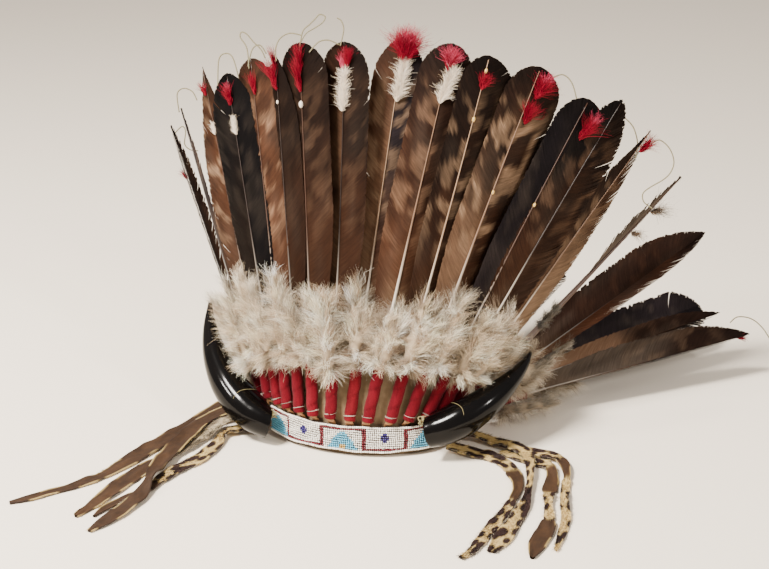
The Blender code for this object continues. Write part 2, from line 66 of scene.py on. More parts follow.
# Colours, as they look.
COLOURS = {
    "black": (15, 10, 9),
    "night": (18, 14, 17),
    "slate": (34, 28, 30),
    "bark": (34, 21, 15),
    "brown": (64, 40, 27),
    "rust": (76, 46, 30),
    "tan": (116, 88, 68),
    "sand": (146, 118, 94),
    "stone": (96, 84, 74),
    "bone": (232, 218, 200),
    "down": (246, 225, 192),
    "down_light": (250, 240, 222),
    "down_shade": (138, 112, 88),
    "white": (214, 202, 188),
    "red": (130, 2, 32),
    "deep_red": (82, 4, 16),
    "pink": (186, 66, 92),
    "cloth": (99, 12, 25),
    "cloth_pink": (108, 18, 28),
    "bead_white": (238, 232, 222),
    "bead_red": (100, 6, 24),
    "bead_blue": (96, 176, 208),
    "bead_navy": (38, 26, 104),
    "bead_ochre": (196, 160, 92),
    "skin": (50, 31, 15),
    "skin_pale": (72, 48, 27),
    "fur": (198, 170, 110),
    "fur_pale": (240, 226, 196),
    "fur_spot": (36, 18, 14),
    "fur_grey": (172, 156, 128),
    "horn": (5, 4, 4),
    "horn_tip": (20, 16, 14),
    "olive": (132, 122, 84),
    "sinew": (116, 108, 80),
    "tab": (150, 108, 72),
    "felt": (124, 104, 80),
}


def paint(name):
    """A named colour as the linear values that Blender works in."""
    screen = np.array(COLOURS[name]) / 255.0
    return np.where(screen <= 0.04045, screen / 12.92, ((screen + 0.055) / 1.055) ** 2.4)


# Working with arrays of points.


def unit(vectors):
    return vectors / np.maximum(np.linalg.norm(vectors, axis=-1, keepdims=True), 1e-9)


def hashed(ix, iy, seed):
    """A repeatable number from 0 to 1 for each pair of whole numbers."""
    n = np.sin(ix * 127.1 + iy * 311.7 + seed * 74.7) * 43758.5453
    return n - np.floor(n)


def noise(x, y, seed):
    """Smooth noise from 0 to 1, one lump to each unit square."""
    ix, iy = np.floor(x), np.floor(y)
    fx, fy = x - ix, y - iy
    fx, fy = fx * fx * (3 - 2 * fx), fy * fy * (3 - 2 * fy)
    low = hashed(ix, iy, seed) * (1 - fx) + hashed(ix + 1, iy, seed) * fx
    high = hashed(ix, iy + 1, seed) * (1 - fx) + hashed(ix + 1, iy + 1, seed) * fx
    return low * (1 - fy) + high * fy


def smooth(low, high, x):
    """0 below low, 1 above high, and smoothly between."""
    t = np.clip((x - low) / (high - low), 0.0, 1.0)
    return t * t * (3 - 2 * t)


def mixed(a, b, share):
    return a + (b - a) * np.asarray(share)[..., None]


def angles_round(count):
    """Evenly spaced angles round a circle."""
    return np.linspace(0, 2 * np.pi, count, endpoint=False)


def grid_faces(rows, columns, closed=False):
    """Quads over a grid of points, wrapping round if it is closed."""
    across = np.arange(columns if closed else columns - 1)
    after = (across + 1) % columns
    base = np.arange(rows - 1)[:, None] * columns
    quads = np.stack([base + across, base + after, base + columns + after, base + columns + across], -1)
    return quads.reshape(-1, 4)


def closed_faces(rows, columns):
    """Quads round a form, and one over each of its ends through four of that ring's points."""
    ends = np.arange(0, columns, columns // 4) + [[0], [(rows - 1) * columns]]
    return np.concatenate([grid_faces(rows, columns, closed=True), ends])


def ribbon_faces(ribbons, stations):
    """Quads for ribbons two points wide, one after another."""
    return (grid_faces(stations, 2) + (np.arange(ribbons) * stations * 2)[:, None, None]).reshape(-1, 4)


def fan_faces(some, after, middle):
    """Triangles from pairs of points to one in the middle, each written as a quad."""
    middles = np.full(len(some), middle)
    return np.stack([some, after, middles, middles], -1)


def distances(path):
    """How far along a path each of its points is."""
    return np.concatenate([[0.0], np.cumsum(np.linalg.norm(np.diff(path, axis=0), axis=1))])


def frames_along(path):
    """Two directions across a path at each of its points, which never spin."""
    ahead = unit(np.gradient(path, axis=0))
    first = np.cross(ahead[0], (0.0, 0.0, 1.0) if abs(ahead[0][2]) < 0.9 else (1.0, 0.0, 0.0))
    across = [first / np.linalg.norm(first)]
    for direction in ahead[1:]:
        turned = across[-1] - direction * np.dot(across[-1], direction)
        across.append(turned / np.linalg.norm(turned))
    across = np.array(across)
    return across, np.cross(ahead, across)


def tube(path, radii, sides):
    """A closed round tube along a path."""
    path = np.asarray(path, float)
    radii = np.broadcast_to(np.asarray(radii, float), (len(path),))
    across, up = frames_along(path)
    turn = angles_round(sides)[:, None]
    ring = across[:, None] * np.cos(turn) + up[:, None] * np.sin(turn)
    points = (path[:, None] + ring * radii[:, None, None]).reshape(-1, 3)
    last = (len(path) - 1) * sides
    k = np.arange(sides)
    after = (k + 1) % sides
    ends = [fan_faces(after, k, len(points)), fan_faces(last + k, last + after, len(points) + 1)]
    faces = np.concatenate([grid_faces(len(path), sides, closed=True), *ends])
    return np.concatenate([points, path[[0, -1]]]), faces


def for_tube(values, sides):
    """Values at the stations of a path, as one for each point of the tube along it."""
    return np.concatenate([np.repeat(values, sides, axis=0), values[[0, -1]]])


def curve_through(points, steps):
    """A smooth path through points, with so many steps to each stretch."""
    points = np.asarray(points, float)
    padded = np.concatenate([points[:1], points, points[-1:]])
    path = []
    for i in range(len(points) - 1):
        a, b, c, d = padded[i : i + 4]
        for t in np.linspace(0, 1, steps, endpoint=False):
            bend = (2 * a - 5 * b + 4 * c - d) * t * t + (3 * b - a - 3 * c + d) * t**3
            path.append(b + ((c - a) * t + bend) / 2)
    path.append(points[-1])
    return np.array(path)


def joined(parts):
    """Several (points, faces, colours) as one, each colour either one value or one for each point."""
    points, faces, colours, count = [], [], [], 0
    for some_points, some_faces, some_colours in parts:
        points.append(some_points)
        faces.append(some_faces + count)
        colours.append(np.broadcast_to(some_colours, (len(some_points), 3)))
        count += len(some_points)
    return np.concatenate(points), np.concatenate(faces), np.concatenate(colours)


def add_object(name, data):
    thing = bpy.data.objects.new(name, data)
    bpy.context.scene.collection.objects.link(thing)
    return thing


def piece(name, made, material, replaces=(), uvs=None):
    """A mesh piece from (points, faces, colours), riding on the headdress."""
    points, faces, colours = made
    points = np.concatenate([points[:, :2], np.maximum(points[:, 2:], TABLE_GAP)], 1)
    mesh = bpy.data.meshes.new(name)
    corners = [tuple(dict.fromkeys(face)) for face in faces.tolist()]
    mesh.from_pydata((points * MM + RIM_MIDDLE).tolist(), [], corners)
    rgba = np.ones((len(points), 4))
    rgba[:, :3] = np.clip(colours, 0, 1)
    mesh.color_attributes.new("tint", "FLOAT_COLOR", "POINT").data.foreach_set("color", rgba.ravel())
    if uvs is not None:
        loops = np.empty(len(mesh.loops), int)
        mesh.loops.foreach_get("vertex_index", loops)
        mesh.uv_layers.new(name="barbs").data.foreach_set("uv", uvs[loops].ravel())
    mesh.materials.append(material)
    mesh.shade_smooth()
    thing = add_object(name, mesh)
    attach(thing, "root")
    if replaces:
        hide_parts(*replaces)


# Materials.

RELIEF_DEPTH = 0.0006  # in metres, where the relief is at full strength


def fill(links, node, values):
    """Set a node's inputs, each to a value or from another node's output."""
    for name, value in values.items():
        if isinstance(value, bpy.types.NodeSocket):
            links.new(value, node.inputs[name])
        else:
            node.inputs[name].default_value = value
    return node


def surface(name, roughness, mottle=(400, 0.1), bump=(900, 0.1), stretch=None, sheen=0.0, coat=0.0, shine=0.5,
            ior=1.5):
    """A material that takes its colour from the points, with fine mottling and relief.

    mottle: scale of the lumps, and how much they change the colour. bump: scale and strength of the relief.
    stretch: for barbs and hair, how many times longer the lumps are along the strands, on the piece's own
    map.
    """
    made = bpy.data.materials.new(name)
    made.use_nodes = True
    nodes, links = made.node_tree.nodes, made.node_tree.links

    def add(kind, values):
        return fill(links, nodes.new("ShaderNode" + kind), values)

    place = add("TexCoord", {})
    source = place.outputs["Object"]
    if stretch:
        scale = (1.0, 1.0 / stretch, 1.0)
        source = add("Mapping", {"Vector": place.outputs["UV"], "Scale": scale}).outputs["Vector"]
    tint = add("Attribute", {})
    tint.attribute_name = "tint"
    lumps = add("TexNoise", {"Vector": source, "Scale": mottle[0], "Detail": 3.0})
    low, high = 1.0 - mottle[1], 1.0 + mottle[1]
    levels = add("MapRange", {
        "Value": lumps.outputs["Fac"], "From Min": 0.3, "From Max": 0.7, "To Min": low, "To Max": high,
    })
    scaled = nodes.new("ShaderNodeVectorMath")
    scaled.operation = "SCALE"
    fill(links, scaled, {0: tint.outputs["Color"], "Scale": levels.outputs["Result"]})
    relief = add("TexNoise", {"Vector": source, "Scale": bump[0], "Detail": 2.0})
    raised = add("Bump", {"Height": relief.outputs["Fac"], "Strength": bump[1], "Distance": RELIEF_DEPTH})
    fill(links, nodes["Principled BSDF"], {
        "Base Color": scaled.outputs["Vector"],
        "Normal": raised.outputs["Normal"],
        "Roughness": roughness,
        "Sheen Weight": sheen,
        "Sheen Roughness": 0.5,
        "Coat Weight": coat,
        "Coat Roughness": 0.12,
        "Specular IOR Level": shine,
        "IOR": ior,
    })
    return made


VANE = surface("barbed vane", 0.62, (1.6, 0.2), (2.6, 0.4), stretch=14, shine=0.12, ior=1.3)
SHAFT = surface("quill", 0.38, (500, 0.06), (1500, 0.1))
DOWN = surface("soft down", 0.95, (300, 0.08), (900, 0.05), sheen=0.25, shine=0.15)
HACKLE = surface("dyed hackle", 0.8, (700, 0.12), (900, 0.05), shine=0.15)
WOOL = surface("wool cloth", 0.95, (900, 0.14), (2600, 0.7), sheen=0.03, shine=0.1)
THREAD = surface("waxed thread", 0.6, (1500, 0.12), (4000, 0.5))
LEATHER = surface("tanned leather", 0.72, (220, 0.16), (1300, 0.4), shine=0.3)
FELT = surface("felt", 0.98, (160, 0.14), (1500, 0.7), sheen=0.15, shine=0.1)
BEADS = surface("glass beads", 0.22, (300, 0.05), (900, 0.02), coat=0.4)
HORN = surface("polished horn", 0.14, (60, 0.2), (90, 0.05), ior=1.26)
HAIR = surface("hair", 0.6, (600, 0.15), (900, 0.05), sheen=0.05, shine=0.3)


# The camera and the stage.

YAW = 14.0
PITCH = 20.0
LENS = 72.0
RANGE = 1500.0  # from the camera's plane to the middle of the rim
ASIDE = -19.0  # where the middle of the rim is, to the right of the view's middle
BELOW = -133.1  # and above it


def look_directions():
    """The camera's right, up and forward."""
    yaw, pitch = math.radians(YAW), math.radians(PITCH)
    right = np.array([math.cos(yaw), math.sin(yaw), 0.0])
    ahead = np.array([-math.sin(yaw) * math.cos(pitch), math.cos(yaw) * math.cos(pitch), -math.sin(pitch)])
    return right, np.cross(right, ahead), ahead


def make_camera():
    right, up, ahead = look_directions()
    place = -(right * ASIDE + up * BELOW + ahead * RANGE) * MM + RIM_MIDDLE
    lens = bpy.data.cameras.new("view")
    lens.lens = LENS
    lens.sensor_width = 36.0
    camera = add_object("view", lens)
    turned = Matrix((right, up, -ahead)).transposed()
    camera.matrix_world = Matrix.Translation(place) @ turned.to_4x4()
    bpy.context.scene.camera = camera


FLOOR_REACH = 9000.0  # from the middle to each edge
FLOOR_DROP = 0.2  # how far it is below the headdress


def make_stage():
    """A wide pale floor."""
    square = ((-1, -1), (1, -1), (1, 1), (-1, 1))
    corners = np.array([(x * FLOOR_REACH, y * FLOOR_REACH, -FLOOR_DROP) for x, y in square])
    mesh = bpy.data.meshes.new("sheet")
    mesh.from_pydata((corners * MM + RIM_MIDDLE).tolist(), [], [(0, 1, 2, 3)])
    paper = bpy.data.materials.new("paper")
    paper.use_nodes = True
    look = {"Base Color": (0.95, 0.845, 0.71, 1.0), "Roughness": 0.9, "Specular IOR Level": 0.1}
    fill(paper.node_tree.links, paper.node_tree.nodes["Principled BSDF"], look)
    mesh.materials.append(paper)
    sheet = add_object("sheet", mesh)


# Each lamp: where it is and what it points at, in metres, its size, power and colour.
LIGHTS = (
    ("overhead", (-0.85, -1.2, 1.9), (-0.1, -0.2, 0.0), (0.5, 0.4), 170.0, (1.0, 0.95, 0.88)),
    ("left_box", (-1.6, -1.3, 1.3), (0.0, 0.0, 0.15), (0.18, 0.2), 22.0, (1.0, 0.95, 0.88)),
    ("right_box", (1.6, -1.3, 1.3), (0.0, 0.0, 0.15), (0.18, 0.2), 20.0, (1.0, 0.96, 0.9)),
)


def make_light(name, place, aim, size, power, colour):
    lamp = bpy.data.lights.new(name, "AREA")
    lamp.shape = "RECTANGLE"
    lamp.size, lamp.size_y = size
    lamp.energy = power
    lamp.color = colour
    thing = add_object(name, lamp)
    thing.location = Vector(place)
    thing.rotation_euler = (Vector(aim) - Vector(place)).to_track_quat("-Z", "Y").to_euler()


def make_lights():
    """A soft box overhead, two small ones for the shine of the horns, and the light of the room."""
    for lamp in LIGHTS:
        make_light(*lamp)
    world = bpy.data.worlds.new("room")
    world.use_nodes = True
    glow = {"Color": (1.0, 0.945, 0.89, 1.0), "Strength": 0.62}
    fill(world.node_tree.links, world.node_tree.nodes["Background"], glow)
    bpy.context.scene.world = world


# The feathers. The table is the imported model's own. place: how far round the rim from the brow, to the
# right. seat: the height of the quill's foot. rise and heading: where it points. wide_left and wide_right:
# how far the vane goes on each side, as shares of half its width. swing: how far it is turned about its
# shaft, and turn: how much further at its tip. point: how pointed it is. bow: how far its tip bends aside.
# down: how far its down stands out, and reach: how far up that goes.

WRAP_RADIUS = 5.0
WRAP_CLEAR = 0.9  # between a wrap and the cap's foot
WRAP_TOP = 60.0  # along the feather, as VANE_START is
VANE_START = 74.0
VANE_BASE = 0.5  # a vane's width where it starts, as a share of its greatest
VANE_FULL = 0.45  # where along its vane it is widest
VANE_SWELL = 1.2  # how slowly it widens at first
BLUNT_TIP = 0.92  # where along its vane a round tip starts
SHARPEST = 0.34  # how much sooner the sharpest tip starts
TIP_POINTING = 0.8  # how much leaner a sharp tip is than a round one
FEATHER_COLUMNS = (
    "place", "seat", "rise", "heading", "length", "width", "wide_left", "wide_right", "swing", "turn",
    "point", "bow", "down", "reach",
)
FEATHER_ROWS = (
    (-73, 34, 45, -138, 302, 30, 1, 1, -6, -4, 0.8, 2, 8, 0.8),
    (-63, 34, 52, -138, 305, 32, 1, 1, -4, 2, 0.8, 2, 10, 0.8),
    (-52.5, 34, 66, -137, 325, 44, 1.1, 1, 30, 14, 1.5, 0, 15, 1),
    (-42, 34, 70, -140, 317, 50, 1.15, 1, 9, 15, 0.3, 0, 18, 1),
    (-34, 34, 72, -147, 330, 48, 1, 1, 1, 10, 0.1, 0, 21, 1),
    (-25.4, 34, 74, -153, 332, 46, 1, 1, -8, 4, 0.7, 0, 21, 1),
    (-16.7, 34, 76, -160, 345, 56, 0.95, 1.05, -8.5, 1, 0.1, -3, 21, 1),
    (-7.1, 34, 76, 180, 347, 50, 1, 1, -13, 8, 0.1, -7, 21, 1),
    (2.9, 34, 71, 168, 356, 50, 1, 1, 0, 4, 0.2, 0, 21, 1),
    (12, 34, 72, 149, 355, 50, 1, 1, 10, -8, 0.1, 1, 21, 1),
    (24, 34, 71, 139, 347, 52, 0.8, 1.25, 11, -8, 0.1, -4, 21, 1),
    (34, 34, 67, 136, 346, 58, 0.9, 1.2, 12, -9, 0.1, 5, 21, 1),
    (44, 34, 60, 132, 331, 56, 0.8, 1.24, 4.5, -15.5, 0.1, 4, 19, 1),
    (52.5, 34, 57, 130, 339, 52, 1, 1.08, -12, -12, 0.5, 4, 15, 0.95),
    (62, 34, 50, 131, 326, 46, 1, 1, -20, 0, 1.6, 4, 9, 0.78),
    (72, 34, 36, 135, 317, 26, 1, 1, -8, 0, 0.9, -6, 7, 0.72),
    (82, 33, 24, 134, 310, 50, 0.5, 1.2, 45, 10, 0.7, 0, 8, 0.72),
    (91, 24, 4.8, 127, 320, 40, 0.15, 1.2, 40, 0, 0.7, 0, 9, 0.76),
    (101, 27, 4.7, 135, 318, 40, 0.3, 0.85, 30, 0, 0.7, 0, 12, 0.9),
    (112, 30, 2.6, 140, 322, 56, 1, 1, 28, 0, 0.1, 0, 15, 1),
    (133, 34, 3, 168, 292, 44, 1, 1, 13, 0, 0.2, 0, 18, 1),
    (154, 34, 3, 173, 305, 44, 1, 1, 13, 0, 0.2, 0, 17, 1),
    (174, 34, 2, 178, 312, 44, 1, 1, 13, 0, 0.2, 0, 17, 1),
    (194, 34, 2, 183, 312, 44, 1, 1, 13, 0, 0.2, 0, 17, 1),
    (214, 34, 3, 187, 315, 44, 1, 1, 13, 0, 0.2, 0, 17, 1),
    (234, 34, 6, 193, 310, 42, 1, 1, 13, 0, 0.2, 0, 16, 1),
    (254, 34, 14, 197, 305, 40, 1, 1, 13, 0, 0.3, 0, 14, 1),
    (272, 34, 28, 203, 300, 36, 1, 1, 13, 0, 0.4, 0, 10, 0.9),
)
INNERMOST = 8  # the one in the middle of the fan, counted from 0 as the next line does
SHOWN_WRAPS = range(1, 15)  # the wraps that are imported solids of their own

# How each feather looks. left and right: the vane's colours towards the tip, on either side of the shaft as
# seen from the brow. low_left and low_right: towards the quill. patch: the colour of its bars and mottles.
# bars: how strong they are. shaft: the shaft's colour. fray: how ragged the edges are. splits: how many gaps
# in the vane. bare: how much of the vane has no barbs. quill: how thick the shaft is. pale: how pale its
# base is. tone: how light it is in all.
LOOK_COLUMNS = (
    "left", "right", "low_left", "low_right", "patch", "bars", "shaft", "fray", "splits", "bare", "quill",
    "pale", "tone",
)
LOOK_ROWS = (
    ("bark", "slate", "brown", "bark", "tan", 0.15, "bark", 0.45, 4, 0, 0.5, 0.3, 1.3),
    ("bark", "slate", "brown", "bark", "tan", 0.15, "bark", 0.35, 4, 0, 0.5, 0.3, 1.2),
    ("brown", "brown", "brown", "brown", "sand", 0.8, "brown", 0.2, 1, 0, 0.4, 0.3, 1),
    ("night", "night", "bark", "night", "stone", 0.25, "bark", 0.12, 2, 0, 0.4, 0.5, 0.36),
    ("brown", "brown", "brown", "brown", "tan", 1, "brown", 0.1, 2, 0, 0.4, 0.7, 1.22),
    ("bark", "bark", "bark", "brown", "tan", 0.12, "bark", 0.1, 2, 0, 0.35, 0.3, 0.48),
    ("bark", "bark", "brown", "brown", "tan", 0.3, "brown", 0.1, 2, 0, 0.5, 0.3, 0.62),
    ("brown", "bark", "tan", "brown", "tan", 0.35, "bark", 0.15, 4, 0, 0.5, 0.5, 0.6),
    ("brown", "slate", "tan", "brown", "sand", 0.5, "sand", 0.15, 3, 0, 0.8, 1, 1.1),
    ("bark", "bark", "brown", "brown", "tan", 0.6, "tan", 0.1, 2, 0, 0.9, 1, 1.12),
    ("bark", "bark", "brown", "brown", "sand", 0.8, "sand", 0.1, 2, 0, 0.7, 1, 0.62),
    ("bark", "bark", "tan", "brown", "sand", 0.95, "tan", 0.1, 3, 0, 0.8, 0.9, 1),
    ("night", "night", "slate", "bark", "stone", 0.1, "brown", 0.1, 3, 0, 0.5, 0.4, 0.85),
    ("black", "bark", "brown", "brown", "tan", 0.5, "bark", 0.3, 5, 0, 0.5, 0.8, 0.65),
    ("bark", "brown", "tan", "sand", "sand", 0.5, "tan", 0.2, 3, 0, 0.5, 1, 0.8),
    ("stone", "stone", "stone", "bark", "tan", 0.1, "brown", 0.64, 5, 0.5, 1.9, 0.05, 0.85),
    ("bark", "bark", "rust", "bark", "brown", 0.3, "black", 0.2, 0, 0, 0.5, 0.2, 1.5),
    ("slate", "bark", "tan", "stone", "sand", 0.15, "bark", 0.2, 0, 0, 0.45, 0.4, 0.85),
    ("bark", "bark", "rust", "tan", "tan", 0.15, "black", 0.2, 3, 0, 0.4, 0.5, 1.4),
    ("night", "slate", "bark", "slate", "stone", 0.2, "bark", 0.3, 1, 0, 0.4, 0.3, 1),
    ("bark", "bark", "brown", "brown", "tan", 0.4, "bone", 0.16, 3, 0, 0.8, 0.6, 0.9),
    ("night", "bark", "brown", "brown", "tan", 0.3, "bone", 0.16, 3, 0, 0.8, 0.6, 0.9),
    ("bark", "brown", "brown", "brown", "sand", 0.5, "bone", 0.16, 3, 0, 0.8, 0.6, 0.9),
    ("bark", "bark", "brown", "bark", "tan", 0.3, "bone", 0.16, 3, 0, 0.8, 0.6, 0.9),
    ("brown", "bark", "brown", "brown", "sand", 0.4, "bone", 0.16, 3, 0, 0.8, 0.6, 0.9),
    ("night", "night", "bark", "brown", "tan", 0.2, "bone", 0.16, 3, 0, 0.8, 0.6, 0.9),
    ("bark", "brown", "brown", "brown", "tan", 0.5, "bone", 0.16, 3, 0, 0.8, 0.6, 0.9),
    ("bark", "bark", "brown", "brown", "tan", 0.3, "bone", 0.24, 4, 0, 0.8, 0.6, 0.9),
)
BARB_PITCH = 1.5
MOTTLE = (9.5, 8.0)  # the length and width of a mottle
PALE_BASE = 0.28  # how far up a vane the pale down at its base goes
BARB_STATIONS = 7
BARB_ADVANCE = 24.0  # how much further on a barb ends than it starts
CAMBER = 3.0


def rim_point(place, out=0.0, height=0.0):
    """A point at an angle round the rim, a distance out from the cap's foot."""
    angle = math.radians(place)
    depth = CAP_FRONT if math.cos(angle) > 0 else CAP_REAR
    return np.array([(CAP_HALF_WIDTH + out) * math.sin(angle), -(depth + out) * math.cos(angle), height])


class Feather:
    """Where one feather is, from its row of the table."""

    def __init__(self, index):
        self.__dict__.update(zip(FEATHER_COLUMNS, FEATHER_ROWS[index]))
        self.__dict__.update(zip(LOOK_COLUMNS, LOOK_ROWS[index]))
        self.number = f"{index + 1:02d}"
        self.vane = self.length - VANE_START
        up, round_by, angle = (math.radians(a) for a in (self.rise, self.heading, self.place))
        flat = math.cos(up)
        self.ahead = np.array([flat * math.sin(round_by), -flat * math.cos(round_by), math.sin(up)])
        self.round_rim = np.array([math.cos(angle), math.sin(angle), 0.0])
        across = self.round_rim - self.ahead * self.round_rim.dot(self.ahead)
        self.across = across / np.linalg.norm(across)
        self.out = np.cross(self.across, self.ahead)
        self.seat = rim_point(self.place, WRAP_RADIUS + WRAP_CLEAR, self.seat)

    def at(self, along, aside=0.0, out=0.0):
        """A point by its distances along the quill from the seat, to the right and out of the vane's face."""
        return self.seat + self.ahead * along + self.across * aside + self.out * out

    def half_width(self, station):
        rise = np.sin(np.minimum(1.0, station / VANE_FULL) * np.pi / 2) ** VANE_SWELL
        tip_start = BLUNT_TIP - SHARPEST * self.point
        left = np.clip((1.0 - station) / (1.0 - tip_start), 0.0, 1.0)
        rounded = np.sqrt(1.0 - (1.0 - left) ** 2) ** (1.0 + TIP_POINTING * self.point)
        grown = 1.0 if self.bare == 0 else smooth(self.bare * 0.8, self.bare * 1.3, station)
        return self.width / 2 * (VANE_BASE + (1.0 - VANE_BASE) * rise) * rounded * grown

    def turned(self, along):
        """The directions across the vane and out of its face, at distances along the vane."""
        station = np.clip(along / self.vane, 0.0, 1.0)
        swing = np.radians(self.swing + self.turn * station)[..., None]
        across = self.across * np.cos(swing) - self.out * np.sin(swing)
        out = self.out * np.cos(swing) + self.across * np.sin(swing)
        return across, out, across * (self.bow * station**2)[..., None]

    def vane_point(self, along, aside, lift):
        """Points on the vane: distance along it, distance aside from the shaft, and height off its face."""
        along, aside, lift = np.broadcast_arrays(np.asarray(along, float), aside, lift)
        across, out, bend = self.turned(along)
        sag = lift - CAMBER * np.minimum(np.abs(aside) / (self.width / 2), 1.3) ** 2
        base = self.seat + self.ahead * (VANE_START + along)[..., None] + bend
        return base + across * aside[..., None] + out * sag[..., None]


def vane_colours(feather, rng, start, share, sign, along, aside):
    """Colours on one side of a vane, by where a point's barb starts, its share of the barb, and its place."""
    station = along / feather.vane
    names = ("left", "low_left") if sign < 0 else ("right", "low_right")
    top, bottom = (paint(getattr(feather, name)) for name in names)
    seed = int(feather.number) * 3 + (1 if sign > 0 else 0)
    across = np.abs(aside)
    level = along - 0.3 * across
    wave = noise(level / 45.0, across / 30.0, seed + 5)
    colours = mixed(bottom, top, smooth(0.2, 0.8, station + 0.35 * (wave - 0.5)))
    fine = noise(start / 1.6, across / 6.0, seed + 9)
    cell = (level + 2.5 * (fine - 0.5)) / MOTTLE[0] + seed * 3.7
    block = noise(cell, across / MOTTLE[1] + seed * 1.9, seed)
    mark = smooth(0.52, 0.66, block) * (0.6 + 0.4 * fine)
    mark = mark * smooth(0.22, 0.5, station) * smooth(0.94, 0.78, station)
    colours = mixed(colours, paint(feather.patch), np.clip(feather.bars * mark, 0, 1))
    shade = smooth(0.5, 0.7, noise(cell + 0.9, across / MOTTLE[1] + seed, seed + 4))
    colours = mixed(colours, paint("black"), 0.45 * feather.bars * shade * smooth(0.2, 0.5, station))
    haze = smooth(0.45, 0.9, noise(level / 30.0 + 4, across / 12.0 + seed, seed + 6))
    colours = mixed(colours, paint("stone"), 0.12 * haze * smooth(1.0, 0.6, station))
    colours = mixed(colours, paint("black"), 0.55 * smooth(0.84, 1.0, station) + 0.2 * share * (1 - fine))
    downy = smooth(PALE_BASE, 0.0, station + 0.1 * (fine - 0.5))
    downy = downy * smooth(18.0, 4.0, across + 8.0 * (wave - 0.5))
    colours = mixed(colours, paint("down_shade"), 0.75 * feather.pale * downy)
    streak = 1.0 + 0.24 * (rng.random(start.shape[0])[:, None, None] - 0.5)
    lumpy = 0.62 + 0.34 * noise(level / 22.0, across / 9.0, seed + 2)
    return colours * streak[..., None] * (feather.tone * lumpy)[..., None]


def vane_side(feather, rng, sign):
    """One side of a vane as overlapping barbs: points, faces, colours, map."""
    count = int(feather.vane / BARB_PITCH)
    stations = np.linspace(0.0, 1.0, 240)
    wide = feather.wide_left if sign < 0 else feather.wide_right
    outline = np.stack([stations * feather.vane, feather.half_width(stations) * wide], -1)
    run = distances(outline)

    edges = np.linspace(0.0, 1.0, count + 1)
    low_edge, high_edge = edges[:-1], edges[1:] + 0.6 / count
    middle = (low_edge + high_edge) / 2
    # How far round the outline barbs end, by where they start.
    starts = (0.0, 0.12, 0.8, 0.93, 1.1)
    whole, vane, more = run[-1], feather.vane, BARB_ADVANCE
    ends = (0.02 * vane, 0.12 * vane + more, 0.8 * vane + more, 0.93 * vane + 0.9 * more, whole + 0.1 * vane)
    pull = np.zeros(count)
    for _ in range(feather.splits):
        at, strength = rng.uniform(0.12, 0.93), rng.uniform(0.3, 0.7 + 3.0 * feather.fray)
        away = (middle - at) * feather.vane
        pull += np.sign(away) * strength * np.exp(-np.abs(away) / rng.uniform(5.0, 16.0))

    t = np.linspace(0.0, 1.0, BARB_STATIONS)
    short = 0.02 * rng.random(count) + feather.fray * 0.35 * rng.random(count) ** 3
    t = t[None, :] * (1.0 - short)[:, None]
    left = 1.0 - t
    edge_points = []
    for edge in (low_edge, high_edge):
        end_run = np.clip(np.interp(edge, starts, ends) + pull, 0.0, whole)
        end_along = np.interp(end_run, run, outline[:, 0])
        end_aside = np.interp(end_run, run, outline[:, 1])
        start = np.minimum(edge, 1.0) * feather.vane
        bend_along = start + 0.3 * (end_along - start)
        bend_aside = 0.5 * end_aside
        along = start[:, None] * left**2 + bend_along[:, None] * 2 * left * t + end_along[:, None] * t**2
        aside = bend_aside[:, None] * 2 * left * t + end_aside[:, None] * t**2
        edge_points.append((along, aside))
    along, aside = (np.stack(both, 2) for both in zip(*edge_points))
    curl = (feather.fray * 2.0 + 0.25) * rng.normal(0, 0.5, count)[:, None, None] * t[..., None] ** 2
    lift = np.stack([np.full_like(t, -0.12), np.full_like(t, 0.2)], 2) + curl
    points = feather.vane_point(along, sign * aside, lift)
    start = np.stack([low_edge, high_edge], 1)[:, None, :] * feather.vane + 0 * along
    share = t[..., None] + 0 * along
    colours = vane_colours(feather, rng, start, share, sign, along, aside)
    uvs = np.stack([start / BARB_PITCH, aside], -1).reshape(-1, 2)
    return points.reshape(-1, 3), ribbon_faces(count, BARB_STATIONS), colours.reshape(-1, 3), uvs


def make_feather(index):
    feather = Feather(index)
    rng = np.random.default_rng(100 + index)
    parts, maps = [], []
    for sign in (-1, 1):
        *made, uvs = vane_side(feather, rng, sign)
        parts.append(made)
        maps.append(uvs)
    node = f"feather_{feather.number}"
    piece(f"vane_{feather.number}", joined(parts), VANE, [node], np.concatenate(maps))
    along = np.linspace(WRAP_TOP - VANE_START - 6.0, feather.vane * 0.985, 40)
    path = feather.vane_point(np.maximum(along, 0.0), 0.0, 0.6)
    path = path + feather.ahead * np.minimum(along, 0.0)[:, None]
    station = np.clip(along / feather.vane, 0.0, 1.0)
    radii = feather.quill * 1.7 * (1.0 - station) ** (2.0 - 1.6 * feather.bare) + 0.36
    points, faces = tube(path, radii, 8)
    quill_tone = mixed(paint(feather.shaft), 0.8 * paint("bone"), feather.pale)
    colours = mixed(quill_tone, paint(feather.shaft), smooth(0.08, 0.42, for_tube(station, 8)))
    piece(f"shaft_{feather.number}", (points, faces, colours), SHAFT)
    return feather


# Wraps, ties and tabs.

WOOL_RADIUS = 5.2
WOOL_START = 2.5
WOOL_TURNS = 3.2  # how often the cloth goes round the quill
TIE_PLACES = (7.5, 51)
TIE_RADIUS = 5.55


def tab(feather, rng):
    """The leather foot below a wrap."""
    foot = [rim_point(feather.place, 1.5, z) for z in (12, 22, 31)]
    path = curve_through(foot + [feather.at(along) for along in (1, 3, 6)], 3)
    points, faces = tube(path, 1, 10)
    aside = (points - for_tube(path, 10)) @ feather.round_rim
    points = points + feather.round_rim * aside[:, None] * 3.0
    return points, faces, paint("tab") * rng.uniform(0.75, 1.1)


